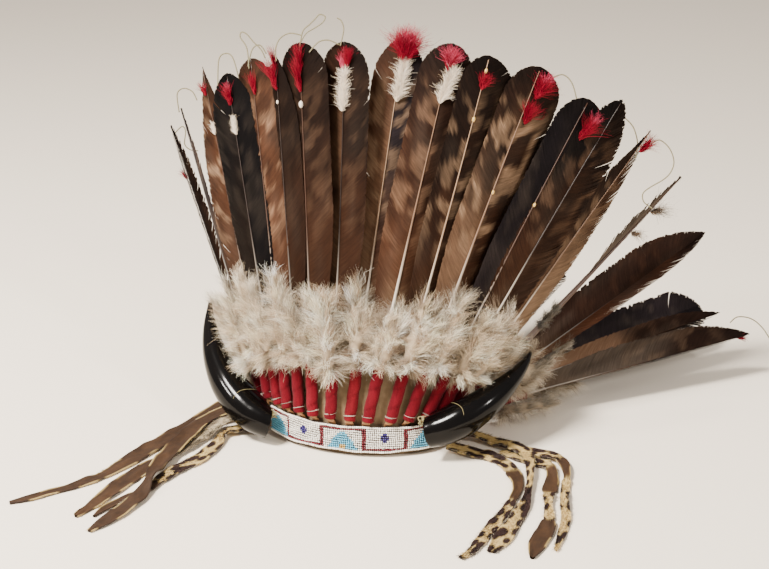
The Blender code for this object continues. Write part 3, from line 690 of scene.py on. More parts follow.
def make_wool(feather, rng, index):
    """The cloth wound on a quill, drawn in where it is tied."""
    stations, sides = 40, 28
    along = np.linspace(WOOL_START, WRAP_TOP, stations)[:, None]
    turn = angles_round(sides)
    wound = (turn / (2 * np.pi) + WOOL_TURNS * (along - WOOL_START) / WRAP_TOP + rng.random()) % 1.0
    radius = WOOL_RADIUS + 0.55 * smooth(0, 0.12, wound) * smooth(1, 0.3, wound)
    radius = radius + 0.35 * (noise(turn * 2, along / 7, index) - 0.5)
    for place in TIE_PLACES:
        radius = radius - 0.45 * np.exp(-(((along - place) / 1.2) ** 2))
    radius = radius * (1.0 - 0.12 * smooth(2, 0, along - WOOL_START))
    middle = feather.at(along[..., None], *((rng.random(2) - 0.5) * 1.2))
    ring = feather.across * np.cos(turn)[..., None] + feather.out * 0.94 * np.sin(turn)[..., None]
    points = (middle + ring * radius[..., None]).reshape(-1, 3)
    base = paint("cloth_pink" if index == INNERMOST else "cloth") * rng.uniform(0.85, 1.12)
    worn = noise(turn * 3.0 + index, along / 5, index + 40)
    # Uneven wear, and painted shade: the cloth is darker in the groove between its turns.
    colours = base * (0.82 + 0.36 * worn)[..., None] * (0.7 + 0.3 * smooth(0, 0.2, wound))[..., None]
    node = [f"wrap_{feather.number}"] if index in SHOWN_WRAPS else []
    made = (points, closed_faces(stations, sides), colours.reshape(-1, 3))
    piece(f"wool_{feather.number}", made, WOOL, node)


def tie(feather, rng, place):
    """A thread round a wrap: nearly level low down, and on the slant higher up."""
    slope = 0.8 if place == TIE_PLACES[0] else rng.choice((-3.2, 3.2))
    turn = np.linspace(0, 2 * np.pi * 1.3, 30) + rng.uniform(0, 6)
    height = place + slope * np.cos(turn) + 0.7 * (turn - turn[0]) / 6.3 - 0.6
    ring = feather.across * np.cos(turn)[:, None] + feather.out * np.sin(turn)[:, None]
    path = feather.at(height[:, None]) + ring * TIE_RADIUS
    return *tube(path, 0.18, 5), paint("bone") * rng.uniform(0.35, 0.7)


def make_wraps(feathers):
    """A wool cloth wound on each quill, a leather tab below it, and thread ties round it."""
    ties, tabs = [], []
    for index, feather in enumerate(feathers):
        rng = np.random.default_rng(300 + index)
        tabs.append(tab(feather, rng))
        make_wool(feather, rng, index)
        ties += [tie(feather, rng, place) for place in TIE_PLACES]
    piece("ties", joined(ties), THREAD)
    piece("tabs", joined(tabs), LEATHER)


# The beaded band.

BAND_HALF_ANGLE = 50.0
BAND_LOW = 5.0
BAND_HIGH = 31.0
BAND_FACE = 5.0  # the hide's outer face, beyond the cap's foot
BAND_BACK = 3.6
BEAD_ROWS = 12
# Each panel across the band: its pattern and how many columns of beads it has.
BAND_PANELS = (
    ("peak_cut_left", 13), ("line", 1), ("cross", 18), ("line", 2), ("peak", 19), ("line", 2), ("cross", 18),
    ("line", 2), ("peak_cut_right", 13),
)
# For each row from the top, how many columns out from the middle of a peak panel are blue.
PEAK_REACH = (0, 0, 0, 2, 3, 4, 5, 6, 6, 7, 8, 0)
PEAK_END_EXTRA = 2.5  # and how much wider the cut peaks are
# For each row, how many columns on each side of the middle of a cross panel are navy.
CROSS_REACH = (0, 0, 0, 1, 2, 2, 1, 0, 0, 0, 0, 0)


def bead_colour(panel, row, out_by):
    """The colour of a bead in a panel, by its row from the top and its distance from the panel's middle."""
    if row in (0, BEAD_ROWS - 1):
        return "bead_white"
    if panel == "line":
        return "bead_red"
    if panel == "cross":
        if row == BEAD_ROWS - 2:
            return "bead_red"
        return "bead_navy" if out_by < CROSS_REACH[row] else "bead_white"
    if row == 1:
        return "bead_red"
    if panel == "peak" and row in (9, 10) and out_by < 1.5:
        return "bead_ochre"
    reach = PEAK_REACH[row] + (PEAK_END_EXTRA if panel == "peak_end" and PEAK_REACH[row] else 0)
    return "bead_blue" if out_by < reach else "bead_white"


def band_columns():
    """The pattern and the distance from its panel's middle of each column, from left to right."""
    columns = []
    for panel, count in BAND_PANELS:
        middle = {"peak_cut_left": 3.0, "peak_cut_right": count - 2.0}.get(panel, (count - 1) / 2)
        for k in range(count):
            out_by = abs(k - middle)
            name = "peak_end" if "cut" in panel else panel
            columns.append((name, out_by if count % 2 or panel == "line" else out_by - 0.49))
    return columns


def make_band():
    """The hide strip, and every bead on it."""
    rng = np.random.default_rng(500)
    columns = band_columns()
    fine = np.linspace(-BAND_HALF_ANGLE, BAND_HALF_ANGLE, 400)
    face = np.array([rim_point(place, BAND_FACE) for place in fine])
    run = distances(face)
    pitch = run[-1] / len(columns)

    low, high = BAND_LOW + 0.2, BAND_HIGH - 0.2
    section = ((BAND_BACK, low + 0.2), (BAND_FACE, low), (BAND_FACE, high), (BAND_BACK, high - 0.2))
    steps = 60
    points = [
        rim_point(place, out, height + 0.3 * math.sin(place * 0.35))
        for place in np.linspace(-BAND_HALF_ANGLE, BAND_HALF_ANGLE, steps)
        for out, height in section
    ]
    hide = (np.array(points), closed_faces(steps, len(section)), paint("bark"))
    piece("band_hide", hide, LEATHER, ["brow_band"])

    profile = ((-0.92, 0.45), (-0.6, 0.92), (0.0, 1.04), (0.6, 0.92), (0.92, 0.45))
    bead = np.array([(x, r * math.cos(a), r * math.sin(a)) for x, r in profile for a in angles_round(8)])
    bead_faces = closed_faces(len(profile), 8)
    step = (BAND_HIGH - BAND_LOW) / BEAD_ROWS
    parts = []
    for k, (panel, out_by) in enumerate(columns):
        at = (k + 0.5) * pitch
        place = np.interp(at, run, fine)
        ahead = unit(rim_point(place + 0.5, BAND_FACE) - rim_point(place - 0.5, BAND_FACE))
        out = np.cross(ahead, (0.0, 0.0, 1.0))
        for row in range(BEAD_ROWS):
            edge = row in (0, BEAD_ROWS - 1)
            size = (1.08 if edge else 0.87) * rng.uniform(0.92, 1.06)
            wave = 0.45 * math.sin(at / 13.0 + row * 0.2) + 0.3 * math.sin(at / 5.0 + row)
            height = BAND_HIGH - (row + 0.5) * step + wave + rng.normal(0, 0.08)
            aside = rng.normal(0, 0.1) + 0.25 * math.sin(row * 0.9 + k * 0.3)
            centre = rim_point(place, BAND_FACE + 0.75, height) + ahead * aside
            tilt = rng.normal(0, 0.08)
            along = ahead * math.cos(tilt) + np.array([0.0, 0.0, math.sin(tilt)])
            up = np.cross(out, along)
            points = centre + size * (bead[:, :1] * along + bead[:, 1:2] * out + bead[:, 2:] * up)
            colour = paint(bead_colour(panel, row, out_by)) * rng.uniform(0.86, 1.06)
            parts.append((points, bead_faces, colour))
    piece("beads", joined(parts), BEADS)


# The horns.

# Side -1 is the left one.
HORN_ROOT = {-1: (76.5, -67.5), 1: (78.5, -67.0)}
HORN_ROOT_HEIGHT = {-1: 20.0, 1: 28.0}
HORN_REACH = 80.5  # how far the tip is out from the root
HORN_SWEEP = 72.0  # how far back
HORN_RISE = {-1: 87.0, 1: 58.0}
HORN_SLANT = {-1: 0.5, 1: 0.2}  # how far the root is cut on the slant
# The two points that the curve is pulled towards: shares of reach and of sweep, and height in millimetres.
HORN_PULLS = ((0.37, 0.06, 9.0), (0.92, 0.48, 40.0))
# Radius along each horn: share of the way, radius.
HORN_RADII = {
    -1: ((0.0, 15.0), (0.12, 17.4), (0.3, 18.4), (0.5, 16.6), (0.7, 12.0), (0.88, 6.2), (1.0, 1.6)),
    1: ((0.0, 14.5), (0.12, 16.4), (0.3, 17.4), (0.5, 14.4), (0.7, 9.2), (0.88, 4.8), (1.0, 1.4)),
}


def horn_path(side, shares):
    out, back = HORN_ROOT[side]
    root = np.array([out * side, back, HORN_ROOT_HEIGHT[side]])
    rows = ((0.0, 0.0, 0.0), *HORN_PULLS, (1.0, 1.0, HORN_RISE[side]))
    a, b, c, d = (root + np.array([x * HORN_REACH * side, y * HORN_SWEEP, z]) for x, y, z in rows)
    t = np.asarray(shares)[:, None]
    left = 1.0 - t
    return a * left**3 + b * 3 * left**2 * t + c * 3 * left * t**2 + d * t**3


def horn_radius(side, shares):
    places, radii = zip(*HORN_RADII[side])
    fine = np.interp(shares, places, radii)
    return np.convolve(np.pad(fine, 4, mode="edge"), np.ones(9) / 9, mode="valid")


def horn_thread(side, radii, rng):
    """The thread over a horn's upper side, and the knot at its root."""
    turn = np.linspace(0.3 * np.pi, 0.8 * np.pi, 12)
    along = 0.3 + 0.02 * np.cos(turn * 3.0)
    centre = horn_path(side, along)
    ahead = unit(horn_path(side, along + 0.01) - centre)
    level = unit(np.cross((0.0, 0.0, 1.0), ahead)) * side
    ring = level * np.cos(turn)[:, None] + np.cross(ahead, level) * side * np.sin(turn)[:, None]
    threads = [(*tube(centre + ring * (radii(along) + 0.1)[:, None], 0.2, 5), paint("olive"))]
    knot = horn_path(side, [0.02])[0] + np.array([-7.0 * side, -3.0, 9.0])
    for _ in range(9):
        loop = knot + rng.normal(0, 2.2, (5, 3)) + np.array([0.0, -1.0, 1.5])
        threads.append((*tube(curve_through(loop, 6), 0.42, 5), paint("olive") * rng.uniform(0.8, 1.3)))
    return joined(threads)


def make_horn(name, side):
    """A polished horn with faint growth rings near its root and a paler tip, and the thread on it."""
    shares, sides = np.linspace(0.0, 1.0, 90), 40
    path = horn_path(side, shares)
    radii = horn_radius(side, shares)
    rings = 0.03 * np.sin(shares * 95) * smooth(0.35, 0.0, shares)
    points, faces = tube(path, radii + rings, sides)
    slant = HORN_SLANT[side] * side * smooth(0.2, 0.0, for_tube(shares, sides))
    points[:, 0] += slant * (points[:, 1] - for_tube(path, sides)[:, 1])
    turn = np.tile(np.arange(sides) / sides, len(path))
    share = np.repeat(shares, sides)
    streaks = 0.12 * (noise(turn * 14, share * 2.0, 7) - 0.5) + 0.06 * noise(turn * 5, share * 9, 3)
    tone = np.clip(0.55 * smooth(0.6, 1.0, share) + streaks, 0, 1)
    colours = mixed(paint("horn"), paint("horn_tip"), np.concatenate([tone, [0.0, 0.7]]))
    piece(f"{name}_horn", (points, faces, colours), HORN, [f"horn_{name}"])
    made = horn_thread(side, lambda along: np.interp(along, shares, radii), np.random.default_rng(600 + side))
    piece(f"{name}_horn_lashing", made, THREAD)


# The cap.


def make_cap():
    """The felt dome, soft and a little lumpy."""
    sides, levels = 96, 30  # points round each ring, and rings from the rim to the top
    turn = angles_round(sides)
    angle = np.linspace(0.0, 0.985, levels)[:, None] * np.pi / 2
    reach = np.cos(angle) ** (2 / CAP_SQUARENESS)
    level = np.sin(angle) ** (2 / CAP_SQUARENESS)
    skins = []
    for inset in (0.0, CAP_WALL):
        depth = np.where(np.cos(turn) > 0, CAP_FRONT, CAP_REAR) - inset
        x = (CAP_HALF_WIDTH - inset) * reach * np.sin(turn)
        y = -depth * reach * np.cos(turn)
        dip = CAP_CREASE * np.exp(-((x / CAP_CREASE_WIDTH) ** 2)) * level**4
        lumps = 1.6 * (noise(x / 24 + 9, y / 24 + level * 3, 4) - 0.5) * smooth(0.0, 0.3, level)
        z = (CAP_HEIGHT - inset) * level - dip
        skins.append(np.stack([x + lumps * np.sin(turn), y - lumps * np.cos(turn), z], -1).reshape(-1, 3))
    outer, inner = skins
    count = len(outer)
    k = np.arange(sides)
    after = (k + 1) % sides
    rim = np.stack([k, after, after + count, k + count], -1)
    top = np.array([outer[-sides:].mean(0), inner[-sides:].mean(0)])
    lasts = (count - sides, 2 * count - sides)
    caps = [fan_faces(last + k, last + after, 2 * count + i) for i, last in enumerate(lasts)]
    grid = grid_faces(levels, sides, closed=True)
    faces = np.concatenate([grid, grid + count, rim, *caps])
    points = np.concatenate([outer, inner, top])
    tone = 0.85 + 0.3 * noise(points[:, 0] / 18 + 3, points[:, 1] / 18 + points[:, 2] / 20, 8)
    piece("felt_cap", (points, faces, paint("felt") * tone[:, None]), FELT, ["cap"])


# Strands: down, hackles and hair.


def strands(rng, roots, directions, lengths, half_width, tones, tips, curl, facing, stations=5, sway=None):
    """Tapering curved strands as ribbons: points, faces, colours. Those with the same sway bend together."""
    count = len(roots)
    sway = rng.normal(0, 1, (count, 3)) if sway is None else sway
    t = np.linspace(0.0, 1.0, stations)[None, :, None]
    directions = unit(directions)
    bend = np.cross(directions, sway) * curl
    wave = np.cross(directions, rng.normal(0, 1, (count, 3))) * curl * 0.25
    path = directions[:, None] * t + bend[:, None] * t**2 + wave[:, None] * np.sin(t * 7.0)
    path = roots[:, None] + path * lengths[:, None, None]
    ahead = unit(np.gradient(path, axis=1))
    face = facing + rng.normal(0, 0.5, (count, 3))
    sides = unit(np.cross(ahead, unit(face)[:, None])) * (half_width * (1.0 - 0.85 * t))
    points = np.stack([path - sides, path + sides], 2).reshape(-1, 3)
    colours = mixed(tones[:, None, :], tips[:, None, :], t[..., 0] + np.zeros((count, stations)))
    return points, ribbon_faces(count, stations), np.repeat(colours[:, :, None], 2, axis=2).reshape(-1, 3)


def tones_between(rng, count, dark, middle, light):
    """Colours picked between three named ones, mostly near the middle."""
    pick = 2 * rng.random(count)
    below, above = mixed(paint(dark), paint(middle), pick), mixed(paint(middle), paint(light), pick - 1)
    return np.where(pick[:, None] < 1, below, above) * rng.uniform(0.9, 1.1, (count, 1))


def plume(rng, base, top, out, clumps, each, reach, tone, all_round=False):
    """Down on a stem's outer side, or all round it, in soft clumps that spread low down, where some hang."""
    stem = top - base
    along = unit(stem)
    across = unit(np.cross(along, out))
    t = rng.random(clumps)
    first, last = (0.0, 2.0) if all_round else (-0.2, 1.2)
    turn = rng.uniform(first * np.pi, last * np.pi, clumps)
    radial = across * np.cos(turn)[:, None] + out * np.sin(turn)[:, None]
    polar = np.radians(66.0 - 50.0 * t + rng.normal(0, 13, clumps))
    low = t < HANGING
    polar[low] = np.radians(rng.uniform(75, 130, low.sum()))
    heading = along * np.cos(polar)[:, None] + radial * np.sin(polar)[:, None]
    lengths = reach * (1.1 - 0.25 * t) * rng.uniform(0.75, 1.15, clumps) * np.where(low, 0.7, 1.0)
    # Painted shade: the clumps are darker the more they turn aside from the feather's face, or from either face
    # where the down goes all round.
    facing = smooth(-0.1, 1.0, np.abs(np.sin(turn)) if all_round else np.sin(turn))
    tones = tones_between(rng, clumps, "down_shade", "down", "down_light")
    tones = tones * (tone * (0.5 + 0.55 * facing))[:, None]

    pick = np.repeat(np.arange(clumps), each)
    count = len(pick)
    roots = base + stem * t[pick][:, None] + radial[pick] * 1.5 + rng.normal(0, 1.3, (count, 3))
    directions = heading[pick] + rng.normal(0, 0.13, (count, 3))
    # Painted shade and painted light: each strand is darker at its root, inside the clump, and lighter at its
    # tip.
    shade = tones[pick] * rng.uniform(0.45, 0.6, (count, 1))
    tips = np.clip(tones[pick] * rng.uniform(1.0, 1.25, (count, 1)), 0, 0.95)
    sway = rng.normal(0, 1, (clumps, 3))[pick] + rng.normal(0, 0.45, (count, 3))
    lengths = lengths[pick] * rng.uniform(0.6, 1.1, count)
    return strands(rng, roots, directions, lengths, 0.2, shade, tips, 0.26, radial[pick], 4, sway)


def core(rng, base, top, radius):
    """The thick of a plume, where its strands hide what is behind: a lumpy closed form, darker as painted
    shade.
    """
    share = np.linspace(0.0, 1.0, 12)
    path = base + (top - base) * share[:, None]
    form = np.sin(np.pi * (0.12 + 0.83 * share)) ** 0.8 * (1.0 - 0.35 * share)
    points, faces = tube(path, radius * form, 12)
    turn = np.append(np.tile(np.arange(12), 12), [0, 0])
    lump = noise(turn * 0.9 + rng.random() * 9, for_tube(share * 7, 12), 3)
    centres = for_tube(path, 12)
    points = centres + (points - centres) * (0.75 + 0.5 * lump)[:, None]
    tone = mixed(paint("down_shade") * np.ones((len(points), 3)), paint("down"), 0.8 * lump)
    return points, faces, tone * rng.uniform(0.45, 0.65)


# The groups of down: the first and last feather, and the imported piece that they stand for.
DOWN_GROUPS = {
    "left": (0, 4, "down_left"),
    "front_left": (4, 8, "down_front"),
    "front_right": (8, 13, None),
    "right": (13, 17, "down_right"),
    "rear_right": (17, 22, "down_rear_right"),
    "rear_left": (22, 28, "down_rear_left"),
}
HANGING = 0.22  # the share of a plume's clumps that hang
# Where the down starts on each feather, along from the seat, where that isn't at DOWN_AT.
DOWN_AT = 55.0
DOWN_START = {0: 24.0, 1: 24.0, 2: 33.0, 3: 42.0, 4: 50.0, 5: 50.0, 7: 46.0, 12: 50.0, 13: 46.0, 17: 34.0}
# How light it is, where it lies low in the shade.
DOWN_TONE = {14: 0.9, 15: 0.75, 16: 0.65, 17: 0.75, 18: 0.72, 19: 0.72}
# Other plumes: the feather, where it starts and ends along it, how far aside and out it is, its reach and
# its tone.
LOOSE_DOWN = (
    (1, 0, 22, -5, 4, 10, 0.8),
    (16, 110, 134, -3, -1, 8, 0.16),
    (17, 92, 118, 2, 8, 12, 0.4),
)
# Up to which feather a plume has how many clumps, of how many strands: at the front, at the low right and at
# the back.
DOWN_CLUMPS = ((17, 46, 25), (20, 34, 24), (28, 26, 13))
# At the back, how far out each of a feather's plumes starts and ends.
REAR_PLUMES = ((-3.0, -6.0), (7.0, 8.0))
# How far the first feathers' down leans to the right: how many of them, and by how much.
LEANING = (3, 7.0)


def make_down(feathers):
    """The down over the tops of the wraps, with soft cores that hide what is behind, darkened as painted shade.
    """
    for name, (first, last, node) in DOWN_GROUPS.items():
        parts, cores = [], []
        for index in range(first, last):
            feather = feathers[index]
            rng = np.random.default_rng(700 + index)
            clumps, each = next(row[1:] for row in DOWN_CLUMPS if index < row[0])
            deep, reach = feather.down, feather.reach
            tone = DOWN_TONE.get(index, 1.0)
            lean = LEANING[1] if index < LEANING[0] else 0.0
            front = index < DOWN_CLUMPS[1][0]
            for k in range(3 if front else len(REAR_PLUMES)):
                start = (DOWN_START.get(index, DOWN_AT) + rng.uniform(-4, 7)) * reach
                away = 7.0 + 0.25 * deep * k if front else REAR_PLUMES[k][0]
                base = feather.at(start, rng.uniform(-5, 5), away)
                end = rng.uniform(92, 128) * reach
                away = 9.0 + deep * rng.uniform(0.3, 0.8) if front else REAR_PLUMES[k][1]
                top = feather.at(end, rng.uniform(-12, 12) + lean, away)
                # Painted shade: the plumes nearer the feather are darker.
                lit = tone * (0.8 + 0.16 * k) * rng.uniform(0.85, 1.15)
                far = 14 + 0.45 * deep
                parts.append(plume(rng, base, top, feather.out, clumps, each, far, lit, not front))
                points, faces, colours = core(rng, base + feather.ahead * 4.0, top, 5.0 + 0.12 * deep)
                cores.append((points, faces, colours * tone))
            for number, start, end, aside, out, reach, tone in LOOSE_DOWN:
                if number == index + 1:
                    base, top = (feather.at(along, aside, out) for along in (start, end))
                    parts.append(plume(rng, base, top, feather.out, clumps, each, reach, tone))
        piece(f"down_strands_{name}", joined(parts), DOWN, [node] if node else [])
        piece(f"down_core_{name}", joined(cores), DOWN)


# The ornaments on the feathers.

# Each tuft: the feather, its kind, how far it is tied below the feather's tip and to the right of the shaft,
# its length and spread, how far its strands lean to the right, and how full it is.
TUFTS = (
    (1, "red", 64, 1, 13, 4, 10, 60),
    (3, "red", 27, -2, 13, 3, -4, 60),
    (3, "white", 66, 0, 14, 4, 0, 60),
    (4, "red", 30, 0, 20, 2.6, 0, 110),
    (4, "pink", 22, 0, 14, 3.5, -8, 30),
    (4, "white", 58, 1, 20, 4, 0, 110),
    (5, "red", 33, 2, 20, 1.6, 4, 90),
    (6, "red", 30, 0, 28, 2.4, -8, 140),
    (6, "red", 12, 0, 22, 1.2, 4, 50),
    (7, "red", 44, 0, 30, 1.2, 0, 120),
    (7, "red", 26, 1, 26, 1.8, 4, 100),
    (8, "red", 22, 4, 17, 3.4, 4, 180),
    (8, "pink", 24, 0, 14, 3, -6, 40),
    (8, "white", 62, 0, 44, 6.5, 0, 400),
    (9, "red", 22, 4, 30, 12, 0, 480),
    (9, "pink", 14, 4, 24, 14, 0, 260),
    (9, "white", 58, 2, 44, 7.5, 4, 460),
    (10, "pink", 22, 1, 20, 6.5, 0, 160),
    (10, "red", 24, 1, 18, 5.5, 0, 170),
    (10, "white", 54, 0, 28, 7, 12, 260),
    (10, "white", 38, 3, 22, 8, 16, 110),
    (11, "red", 30, 0, 15, 5, 4, 130),
    (12, "red", 28, 6, 22, 6.5, 10, 250),
    (12, "pink", 16, 8, 15, 6.5, 10, 50),
    (12, "red", 52, 5, 21, 5.5, 0, 210),
    (13, "red", 36, 10, 23, 4.6, 6, 230),
    (13, "pink", 22, 14, 15, 5.5, 6, 50),
    (15, "red", 22, 3, 20, 5, 8, 130),
    (16, "grey", 46, 3, 26, 8, 38, 90),
    (16, "grey", 74, 3, 20, 6, 62, 60),
    (18, "red", 14, 0, 12, 4, 0, 60),
)
FULLNESS = 1.7  # strands for each step of how full a tuft is
TUFT_TONES = {
    "red": ("deep_red", "red", "red"),
    "pink": ("red", "pink", "pink"),
    "white": ("down", "white", "white"),
    "grey": ("slate", "stone", "sand"),
}
# Beads and knots tied to the shafts: feather, distance below the tip, size, colour.
KNOTS = (
    (6, 42, 1.9, "bone"),
    (7, 56, 3.4, "white"),
    (11, 14, 2.4, "bead_ochre"),
    (11, 58, 2.6, "bead_ochre"),
    (12, 120, 2.2, "bead_ochre"),
    (13, 108, 2.2, "bead_ochre"),
)
# Loose loops of sinew: the feather at whose tip each hangs, then places to the right of and above that tip.
LOOPS = (
    (2, ((-1, -4), (-3, 14), (3, 20), (12, 17), (17, 8))),
    (1, ((3, -10), (12, -1), (16, -6), (15, -19), (21, -25), (29, -26))),
    (4, ((-8, -12), (-7, 12), (-1, 18), (6, 14), (12, -6))),
    (5, ((-1, -10), (-3, 9), (-9, 19), (-8, 24), (-3, 22), (3, 15), (10, 8), (14, 0))),
    (5, ((-2, -8), (2, 8), (9, 12), (15, 4))),
    (7, ((1, -4), (4, 10), (10, 16), (15, 21), (19, 25), (24, 23), (22, 18), (15, 13), (7, 8), (2, 0))),
    (7, ((3, 6), (-8, 8), (-17, 3), (-21, -7), (-20, -17))),
    (8, ((-31, -10), (-23, -1), (-14, 1), (-4, -3))),
    (8, ((-3, -4), (0, 10), (-2, 18), (-6, 21))),
    (13, ((-33, 20), (-24, 22), (-16, 14), (-11, -4))),
    (15, ((-25, 12), (-17, 3), (-13, -12), (-15, -26))),
    (15, (
        (0, -12), (8, -9), (17, -17), (21, -29), (18, -39), (11, -46), (-1, -53), (-8, -59), (-7, -67),
        (1, -73),
    )),
    (18, ((-20, 12), (-12, 18), (2, 16), (14, 6), (24, -10))),
)


def make_tufts(feathers):
    """The dyed hackles and white fluffs tied near the tips."""
    parts = {kind: [] for kind in TUFT_TONES}
    for index, (number, kind, from_tip, aside, length, spread, lean, full) in enumerate(TUFTS):
        rng = np.random.default_rng(800 + index)
        feather = feathers[number - 1]
        across, out, _ = feather.turned(np.array(feather.vane))
        count = int(full * FULLNESS)
        root = feather.vane_point(feather.vane - from_tip, aside, 2.0)
        tilt = math.radians(lean)
        heading = feather.ahead * math.cos(tilt) + across * math.sin(tilt)
        t = rng.random(count) ** (1.4 if kind == "white" else 3.0)
        stem = 0.75 if kind == "white" else 0.3
        roots = root + heading * (t * length * stem)[:, None] + rng.normal(0, 0.5, (count, 3))
        fan = rng.normal(0, 0.5, count) * spread / length * 1.9
        rise = rng.uniform(0.05, 0.5, count)
        directions = heading + across * fan[:, None] + out * rise[:, None]
        lengths = length * (1.0 - stem * t) * rng.uniform(0.55, 1.1, count)
        if kind == "white":
            lengths = np.minimum(lengths, spread * rng.uniform(0.9, 1.9, count))
            directions = directions + across * np.sign(fan)[:, None] * 0.35
        tones = tones_between(rng, count, *TUFT_TONES[kind])
        curl = min(0.3, 0.06 + 0.04 * spread)
        parts[kind].append(strands(rng, roots, directions, lengths, 0.24, tones, tones, curl, out))
    for kind, made in parts.items():
        piece(f"tufts_{kind}", joined(made), HACKLE)


def make_knots(feathers):
    knots = []
    for number, from_tip, size, colour in KNOTS:
        feather = feathers[number - 1]
        middle = feather.vane_point(feather.vane - from_tip, 0.0, 1.2)
        _, out, _ = feather.turned(np.array(feather.vane))
        along = np.linspace(-1, 1, 7)
        path = middle + feather.ahead * along[:, None] * size + out * 0.4
        knots.append((*tube(path, size * 0.62 * np.sqrt(1.02 - along**2), 9), paint(colour)))
    piece("shaft_knots", joined(knots), BEADS)


# The lacing between neighbouring feathers where the down leaves it bare: the feather at its left, how far
# along each of the two it is tied, its thickness, and its colour.
LACES = (
    (13, 119, 112, 0.9, "slate"),
    (13, 116, 108, 0.8, "stone"),
    (13, 122, 110, 0.6, "sand"),
    (13, 109, 102, 1.1, "bone"),
    (14, 102, 98, 0.9, "bone"),
    (15, 97, 93, 0.9, "sinew"),
)


def make_laces(feathers):
    parts = []
    for number, from_along, to_along, thick, colour in LACES:
        first, second = feathers[number - 1], feathers[number]
        start, end = first.at(from_along, out=4.0), second.at(to_along, out=4.0)
        path = curve_through([start, (start + end) / 2 + np.array([0.0, 0.0, -2.0]), end], 8)
        parts.append((*tube(path, thick, 6), paint(colour) * 0.8))
    piece("lacing", joined(parts), THREAD)


def make_loops(feathers):
    """Thin sinew, in loops from tip to tip."""
    right, up, _ = look_directions()
    parts = []
    for number, places in LOOPS:
        feather = feathers[number - 1]
        tip = feather.vane_point(feather.vane, 0.0, 1.0)
        path = curve_through([tip + right * x + up * y for x, y in places], 8)
        parts.append((*tube(path, 0.6, 6), paint("sinew")))
    piece("sinew_loops", joined(parts), THREAD)


# The strips of hide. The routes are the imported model's own.

STRIP_THICK = 1.6
STRIP_STEPS = 12
# Which side of each strip shows: places by their share of its length, and 1 for hair or 0 for skin. Then its
# route's places: x, y, height off the table, half the strip's width, and how far it is tilted, where it
# doesn't lie flat.
STRIPS = {
    "left_1": (((0, 0), (1, 0)), (
        (-108, -14, 14, 7), (-124, -10, 12, 8), (-139, -14, 8, 8.5), (-150, -33, 3.5, 8.5),
        (-161, -60, 1, 9), (-173, -88, 0, 9), (-185, -129, 0, 9), (-199, -169, 0, 7), (-214, -194, 0, 5.5),
        (-230, -212, 0, 4.5), (-243, -228, 0, 3.5), (-257, -240, 0, 1.5),
    )),
    "left_2": (((0, 0), (1, 0)), (
        (-107, -34, 16, 7), (-122, -30, 13, 8), (-138, -41, 9, 8.5), (-149, -62, 6.5, 8.5),
        (-152, -90, 5, 8.5), (-155, -122, 4.6, 8.5), (-155, -152, 4.6, 7), (-152, -176, 4.6, 5, 30),
        (-151, -202, 2.8, 7.5), (-157, -230, 0.6, 8.5), (-163, -250, 0, 7), (-169, -269, 0, 2.5),
    )),
    "left_3": (((0, 1), (0.42, 1), (0.5, 0), (1, 0)), (
        (-113, -48, 12, 6.5), (-129, -56, 6.5, 6.5), (-138, -74, 2.2, 7), (-146, -100, 2, 7),
        (-156, -124, 1.8, 7), (-166, -143, 0, 8), (-174, -170, 0, 9), (-180, -200, 0, 8),
        (-186, -228, 0, 5.5), (-191, -248, 0, 2),
    )),
    "left_4": (((0, 1), (0.6, 1), (0.68, 0), (1, 0)), (
        (-98, -52, 3, 6.5), (-112, -56, 2, 7), (-121, -70, 1, 5, 25), (-122, -90, 0, 6.5),
        (-127, -118, 0, 8), (-138, -142, 0, 7.5), (-145, -166, 0, 6.5), (-151, -188, 0, 6),
        (-163, -209, 0, 5), (-172, -228, 0, 3.5), (-176, -244, 0, 1.5),
    )),
    "right_1": (((0, 1), (0.29, 1), (0.33, 0), (0.53, 0), (0.57, 1), (1, 1)), (
        (91, -46, 5, 7), (106, -45, 2, 8.5), (121, -48, 0, 8.5), (134, -53, 0, 6, 20), (149, -62, 0, 6.5),
        (162, -84, 0, 6.5), (168, -106, 0, 4.5), (167, -131, 0, 4), (163, -157, 0, 5), (157, -186, 0, 5.5),
        (152, -211, 0, 5), (149, -226, 0, 4), (143, -237, 0, 2.5),
    )),
    "right_2": (((0, 1), (1, 1)), (
        (100, -22, 9, 7), (116, -18, 5, 8), (131, -21, 2.4, 8), (146, -27, 4.2, 8), (160, -38, 4.6, 7),
        (170, -57, 4.6, 5), (176, -84, 2, 3.5, 30), (179, -113, 0, 3.5, 30), (178, -142, 0, 6),
        (174, -173, 0, 7.5), (170, -200, 0, 7.5), (165, -221, 0, 4),
    )),
    "right_3": (((0, 1), (0.22, 1), (0.27, 0), (0.46, 0), (0.5, 1), (0.68, 1), (0.72, 0), (1, 0)), (
        (140, -38, 0, 4), (152, -43, 0, 5), (163, -47, 0, 6.5), (178, -53, 0, 7), (190, -60, 0, 5, 20),
        (195, -80, 0, 6), (196, -104, 0, 6.5), (199, -131, 0, 3.5, 30), (203, -154, 0, 5), (203, -176, 0, 8),
        (200, -200, 0, 8), (199, -223, 0, 2),
    )),
    "right_4": (((0, 1), (0.2, 1), (0.26, 0), (0.38, 0), (0.44, 1), (1, 1)), (
        (150, -27, 0, 5), (172, -32, 0.4, 6), (188, -38, 2.2, 6.5), (200, -49, 2.2, 5.5),
        (207, -69, 0, 4, 30), (209, -95, 0, 4), (212, -122, 0, 4, 30), (217, -152, 0, 4),
        (217, -180, 0, 3.5), (216, -205, 0, 1.5),
    )),
}
TURNED_OVER = ("left_1", "left_2")  # these lie on their hair
GREY_STRIP = "left_3"  # its hair is greyer and its spots fainter
HAIRS = 11.9  # for each millimetre along a strip
SPOT_PITCH = 15.0
STRIP_ACROSS = 17  # points across a strip


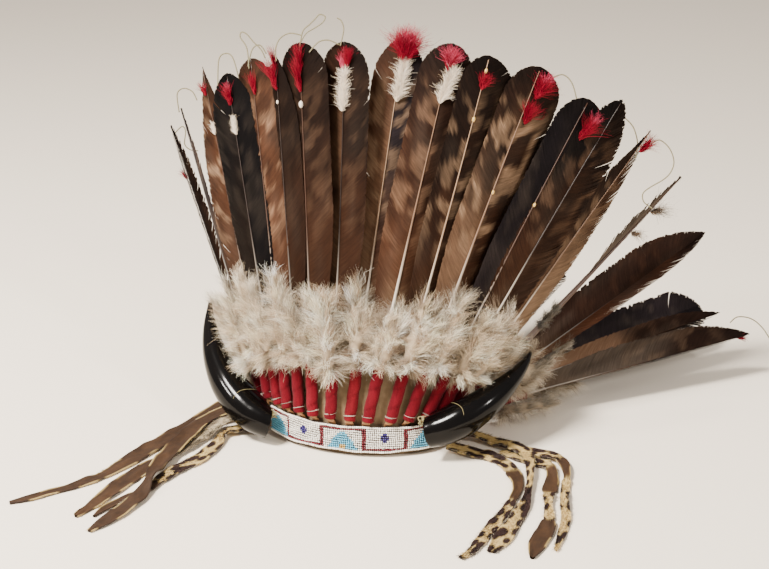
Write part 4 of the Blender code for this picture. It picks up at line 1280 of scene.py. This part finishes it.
def spot_share(along, aside, seed):
    """How dark the hair is at a place on a strip: rows of uneven spots."""
    x, y = along / SPOT_PITCH, aside / (SPOT_PITCH * 0.72)
    best = np.full(np.broadcast(x, y).shape, 9.0)
    for dx in (-1, 0, 1):
        for dy in (-1, 0, 1):
            ix, iy = np.floor(x) + dx, np.floor(y) + dy
            px = ix + 0.5 + 0.6 * (hashed(ix, iy, seed) - 0.5)
            py = iy + 0.5 + 0.6 * (hashed(ix, iy, seed + 1) - 0.5)
            size = 0.26 + 0.24 * hashed(ix, iy, seed + 2)
            best = np.minimum(best, np.hypot((x - px) * 0.75, y - py) / size)
    return smooth(1.1, 0.85, best)


class Strip:
    """Where one strip of hide is, all along its route, and how it looks there."""

    def __init__(self, name, seed):
        self.name, self.seed = name, seed
        self.grey = name == GREY_STRIP
        self.fur = paint("fur_grey" if self.grey else "fur")
        sides, route = STRIPS[name]
        x, y, lift, half, turn = curve_through([(*place, 0)[:5] for place in route], STRIP_STEPS).T
        half = np.maximum(half, 0.7)
        self.ahead = unit(np.gradient(np.stack([x, y, 0 * x], -1), axis=0))
        level = np.stack([-self.ahead[:, 1], self.ahead[:, 0], 0 * x], -1)
        tilt = np.radians(turn + (180 if name in TURNED_OVER else 0))[:, None]
        up = np.array([0.0, 0.0, 1.0])
        self.across = level * np.cos(tilt) + up * np.sin(tilt)
        through = up * np.cos(tilt) - level * np.sin(tilt)
        self.top = through * np.where(np.cos(tilt) > 0, 1.0, -1.0)
        raised = np.maximum(lift, 0.0) + half * np.abs(np.sin(tilt[:, 0])) + STRIP_THICK / 2
        self.centre = np.stack([x, y, raised], -1)
        self.run = distances(self.centre)
        self.hair = smooth(0.0, 1.0, np.interp(self.run / self.run[-1], *zip(*sides)))
        pinch = 1.0 - 0.3 * (1.0 - np.abs(2 * self.hair - 1))
        self.width = half * pinch * (1.0 + 0.08 * (noise(self.run / 9.0, 0 * self.run, seed) - 0.5) * 2)

    def spots(self, along, aside):
        """How dark its hair is at a place."""
        return (0.7 if self.grey else 1.0) * spot_share(along + 30.0 * self.seed, aside, self.seed)

    def pale(self, along, side):
        """Where its edge is pale: in places, and not the same ones on both sides."""
        return smooth(0.5, 0.62, noise(along / 16.0, side + self.seed, self.seed + 9))


def make_hide(strip):
    """The strip itself, rucked, with its edges curled."""
    seed, run, top = strip.seed, strip.run[:, None], strip.top[:, None]
    columns = np.linspace(-1, 1, STRIP_ACROSS)
    aside = columns * strip.width[:, None]
    ruck = 0.9 * (noise(run / 12.0, columns * 1.5 + seed, seed) - 0.5)
    side_of = np.sign(columns) + 0 * ruck
    curled = 2.4 * noise(run / 20.0, side_of + seed, seed + 8) * columns**4
    arch = 0.9 * (1.0 - columns**2) * (0.5 + ruck) + ruck
    upper = strip.centre[:, None] + strip.across[:, None] * aside[..., None]
    upper = upper + top * curled[..., None]
    lower = upper - top * (STRIP_THICK / 2)
    upper = upper + top * np.maximum(STRIP_THICK / 2 * (1 - 0.6 * columns**8) + arch, 0.2)[..., None]
    points = np.concatenate([upper, lower[:, ::-1]], 1).reshape(-1, 3)
    faces = grid_faces(len(run), 2 * STRIP_ACROSS, closed=True)

    grain = noise(run / 5.0, columns * 3.0 + seed, seed + 3)
    blotch = smooth(0.45, 0.75, noise(run / 22.0, columns * 0.8 + 2 * seed, seed + 5))
    skin = mixed(paint("skin") * 0.8, paint("skin_pale"), 0.25 * grain + 0.35 * blotch)
    rim = smooth(0.75, 1.0, np.abs(columns))[None, :]
    pale = strip.pale(run, side_of)
    skin = mixed(mixed(skin, paint("fur"), 0.7 * rim * pale), paint("bark"), 0.5 * rim * (1.0 - pale))
    coat = mixed(strip.fur * 0.85 + 0 * skin, paint("fur_spot"), strip.spots(run, aside))
    base = mixed(skin, coat, strip.hair[:, None] + 0 * grain)
    # The underside takes the same colours, darker as painted shade.
    colours = np.concatenate([base, base[:, ::-1] * 0.8], 1).reshape(-1, 3)
    node = f"hide_strip_{strip.name}"
    piece(f"hide_{strip.name}", (points, faces, colours), LEATHER, [node])


def make_fur(strip):
    """The hair on a strip, and the pale hair at its edges."""
    rng = np.random.default_rng(900 + strip.seed)
    whole = strip.run[-1]
    amount = int(whole * HAIRS)
    at = rng.uniform(0, whole, amount)
    aside = rng.uniform(-1, 1, amount)
    here = np.interp(at, strip.run, strip.hair)
    edge = (np.abs(aside) > 0.86) & (strip.pale(at, np.sign(aside)) > 0.5)
    kept = (here > 0.5) | edge
    at, aside, here = at[kept], aside[kept], here[kept]

    def placed(values):
        return np.stack([np.interp(at, strip.run, values[:, k]) for k in range(3)], -1)

    size = np.interp(at, strip.run, strip.width)
    top, across = unit(placed(strip.top)), placed(strip.across)
    swell = 0.9 * (1.0 - aside**2) * 0.5
    roots = placed(strip.centre) + across * (aside * size)[:, None]
    roots = roots + top * (STRIP_THICK / 2 + swell)[:, None]
    directions = placed(strip.ahead) + top * 0.22 + across * (0.35 * aside)[:, None]
    directions = directions + rng.normal(0, 0.22, directions.shape)
    dark = paint("bark" if strip.grey else "fur_spot")
    tones = mixed(strip.fur + 0 * directions, dark, strip.spots(at, aside * size))
    tones = mixed(tones, paint("fur_pale"), np.where(np.abs(aside) > 0.8, 0.35, 0.0))
    tones = tones * rng.uniform(0.82, 1.12, (len(at), 1))
    lengths = rng.uniform(2.6, 4.4, len(at)) * np.where(here > 0.5, 1.0, 0.6)
    made = strands(rng, roots, directions, lengths, 0.3, tones, tones * 1.05, 0.12, top, 3)
    piece(f"fur_{strip.name}", made, HAIR)


feathers = [make_feather(i) for i in range(len(FEATHER_ROWS))]
make_wraps(feathers)
make_band()
make_horn("left", -1)
make_horn("right", 1)
make_cap()
make_down(feathers)
make_tufts(feathers)
make_knots(feathers)
make_laces(feathers)
make_loops(feathers)
for seed, name in enumerate(STRIPS):
    strip = Strip(name, seed)
    make_hide(strip)
    make_fur(strip)

make_camera()
make_stage()
make_lights()
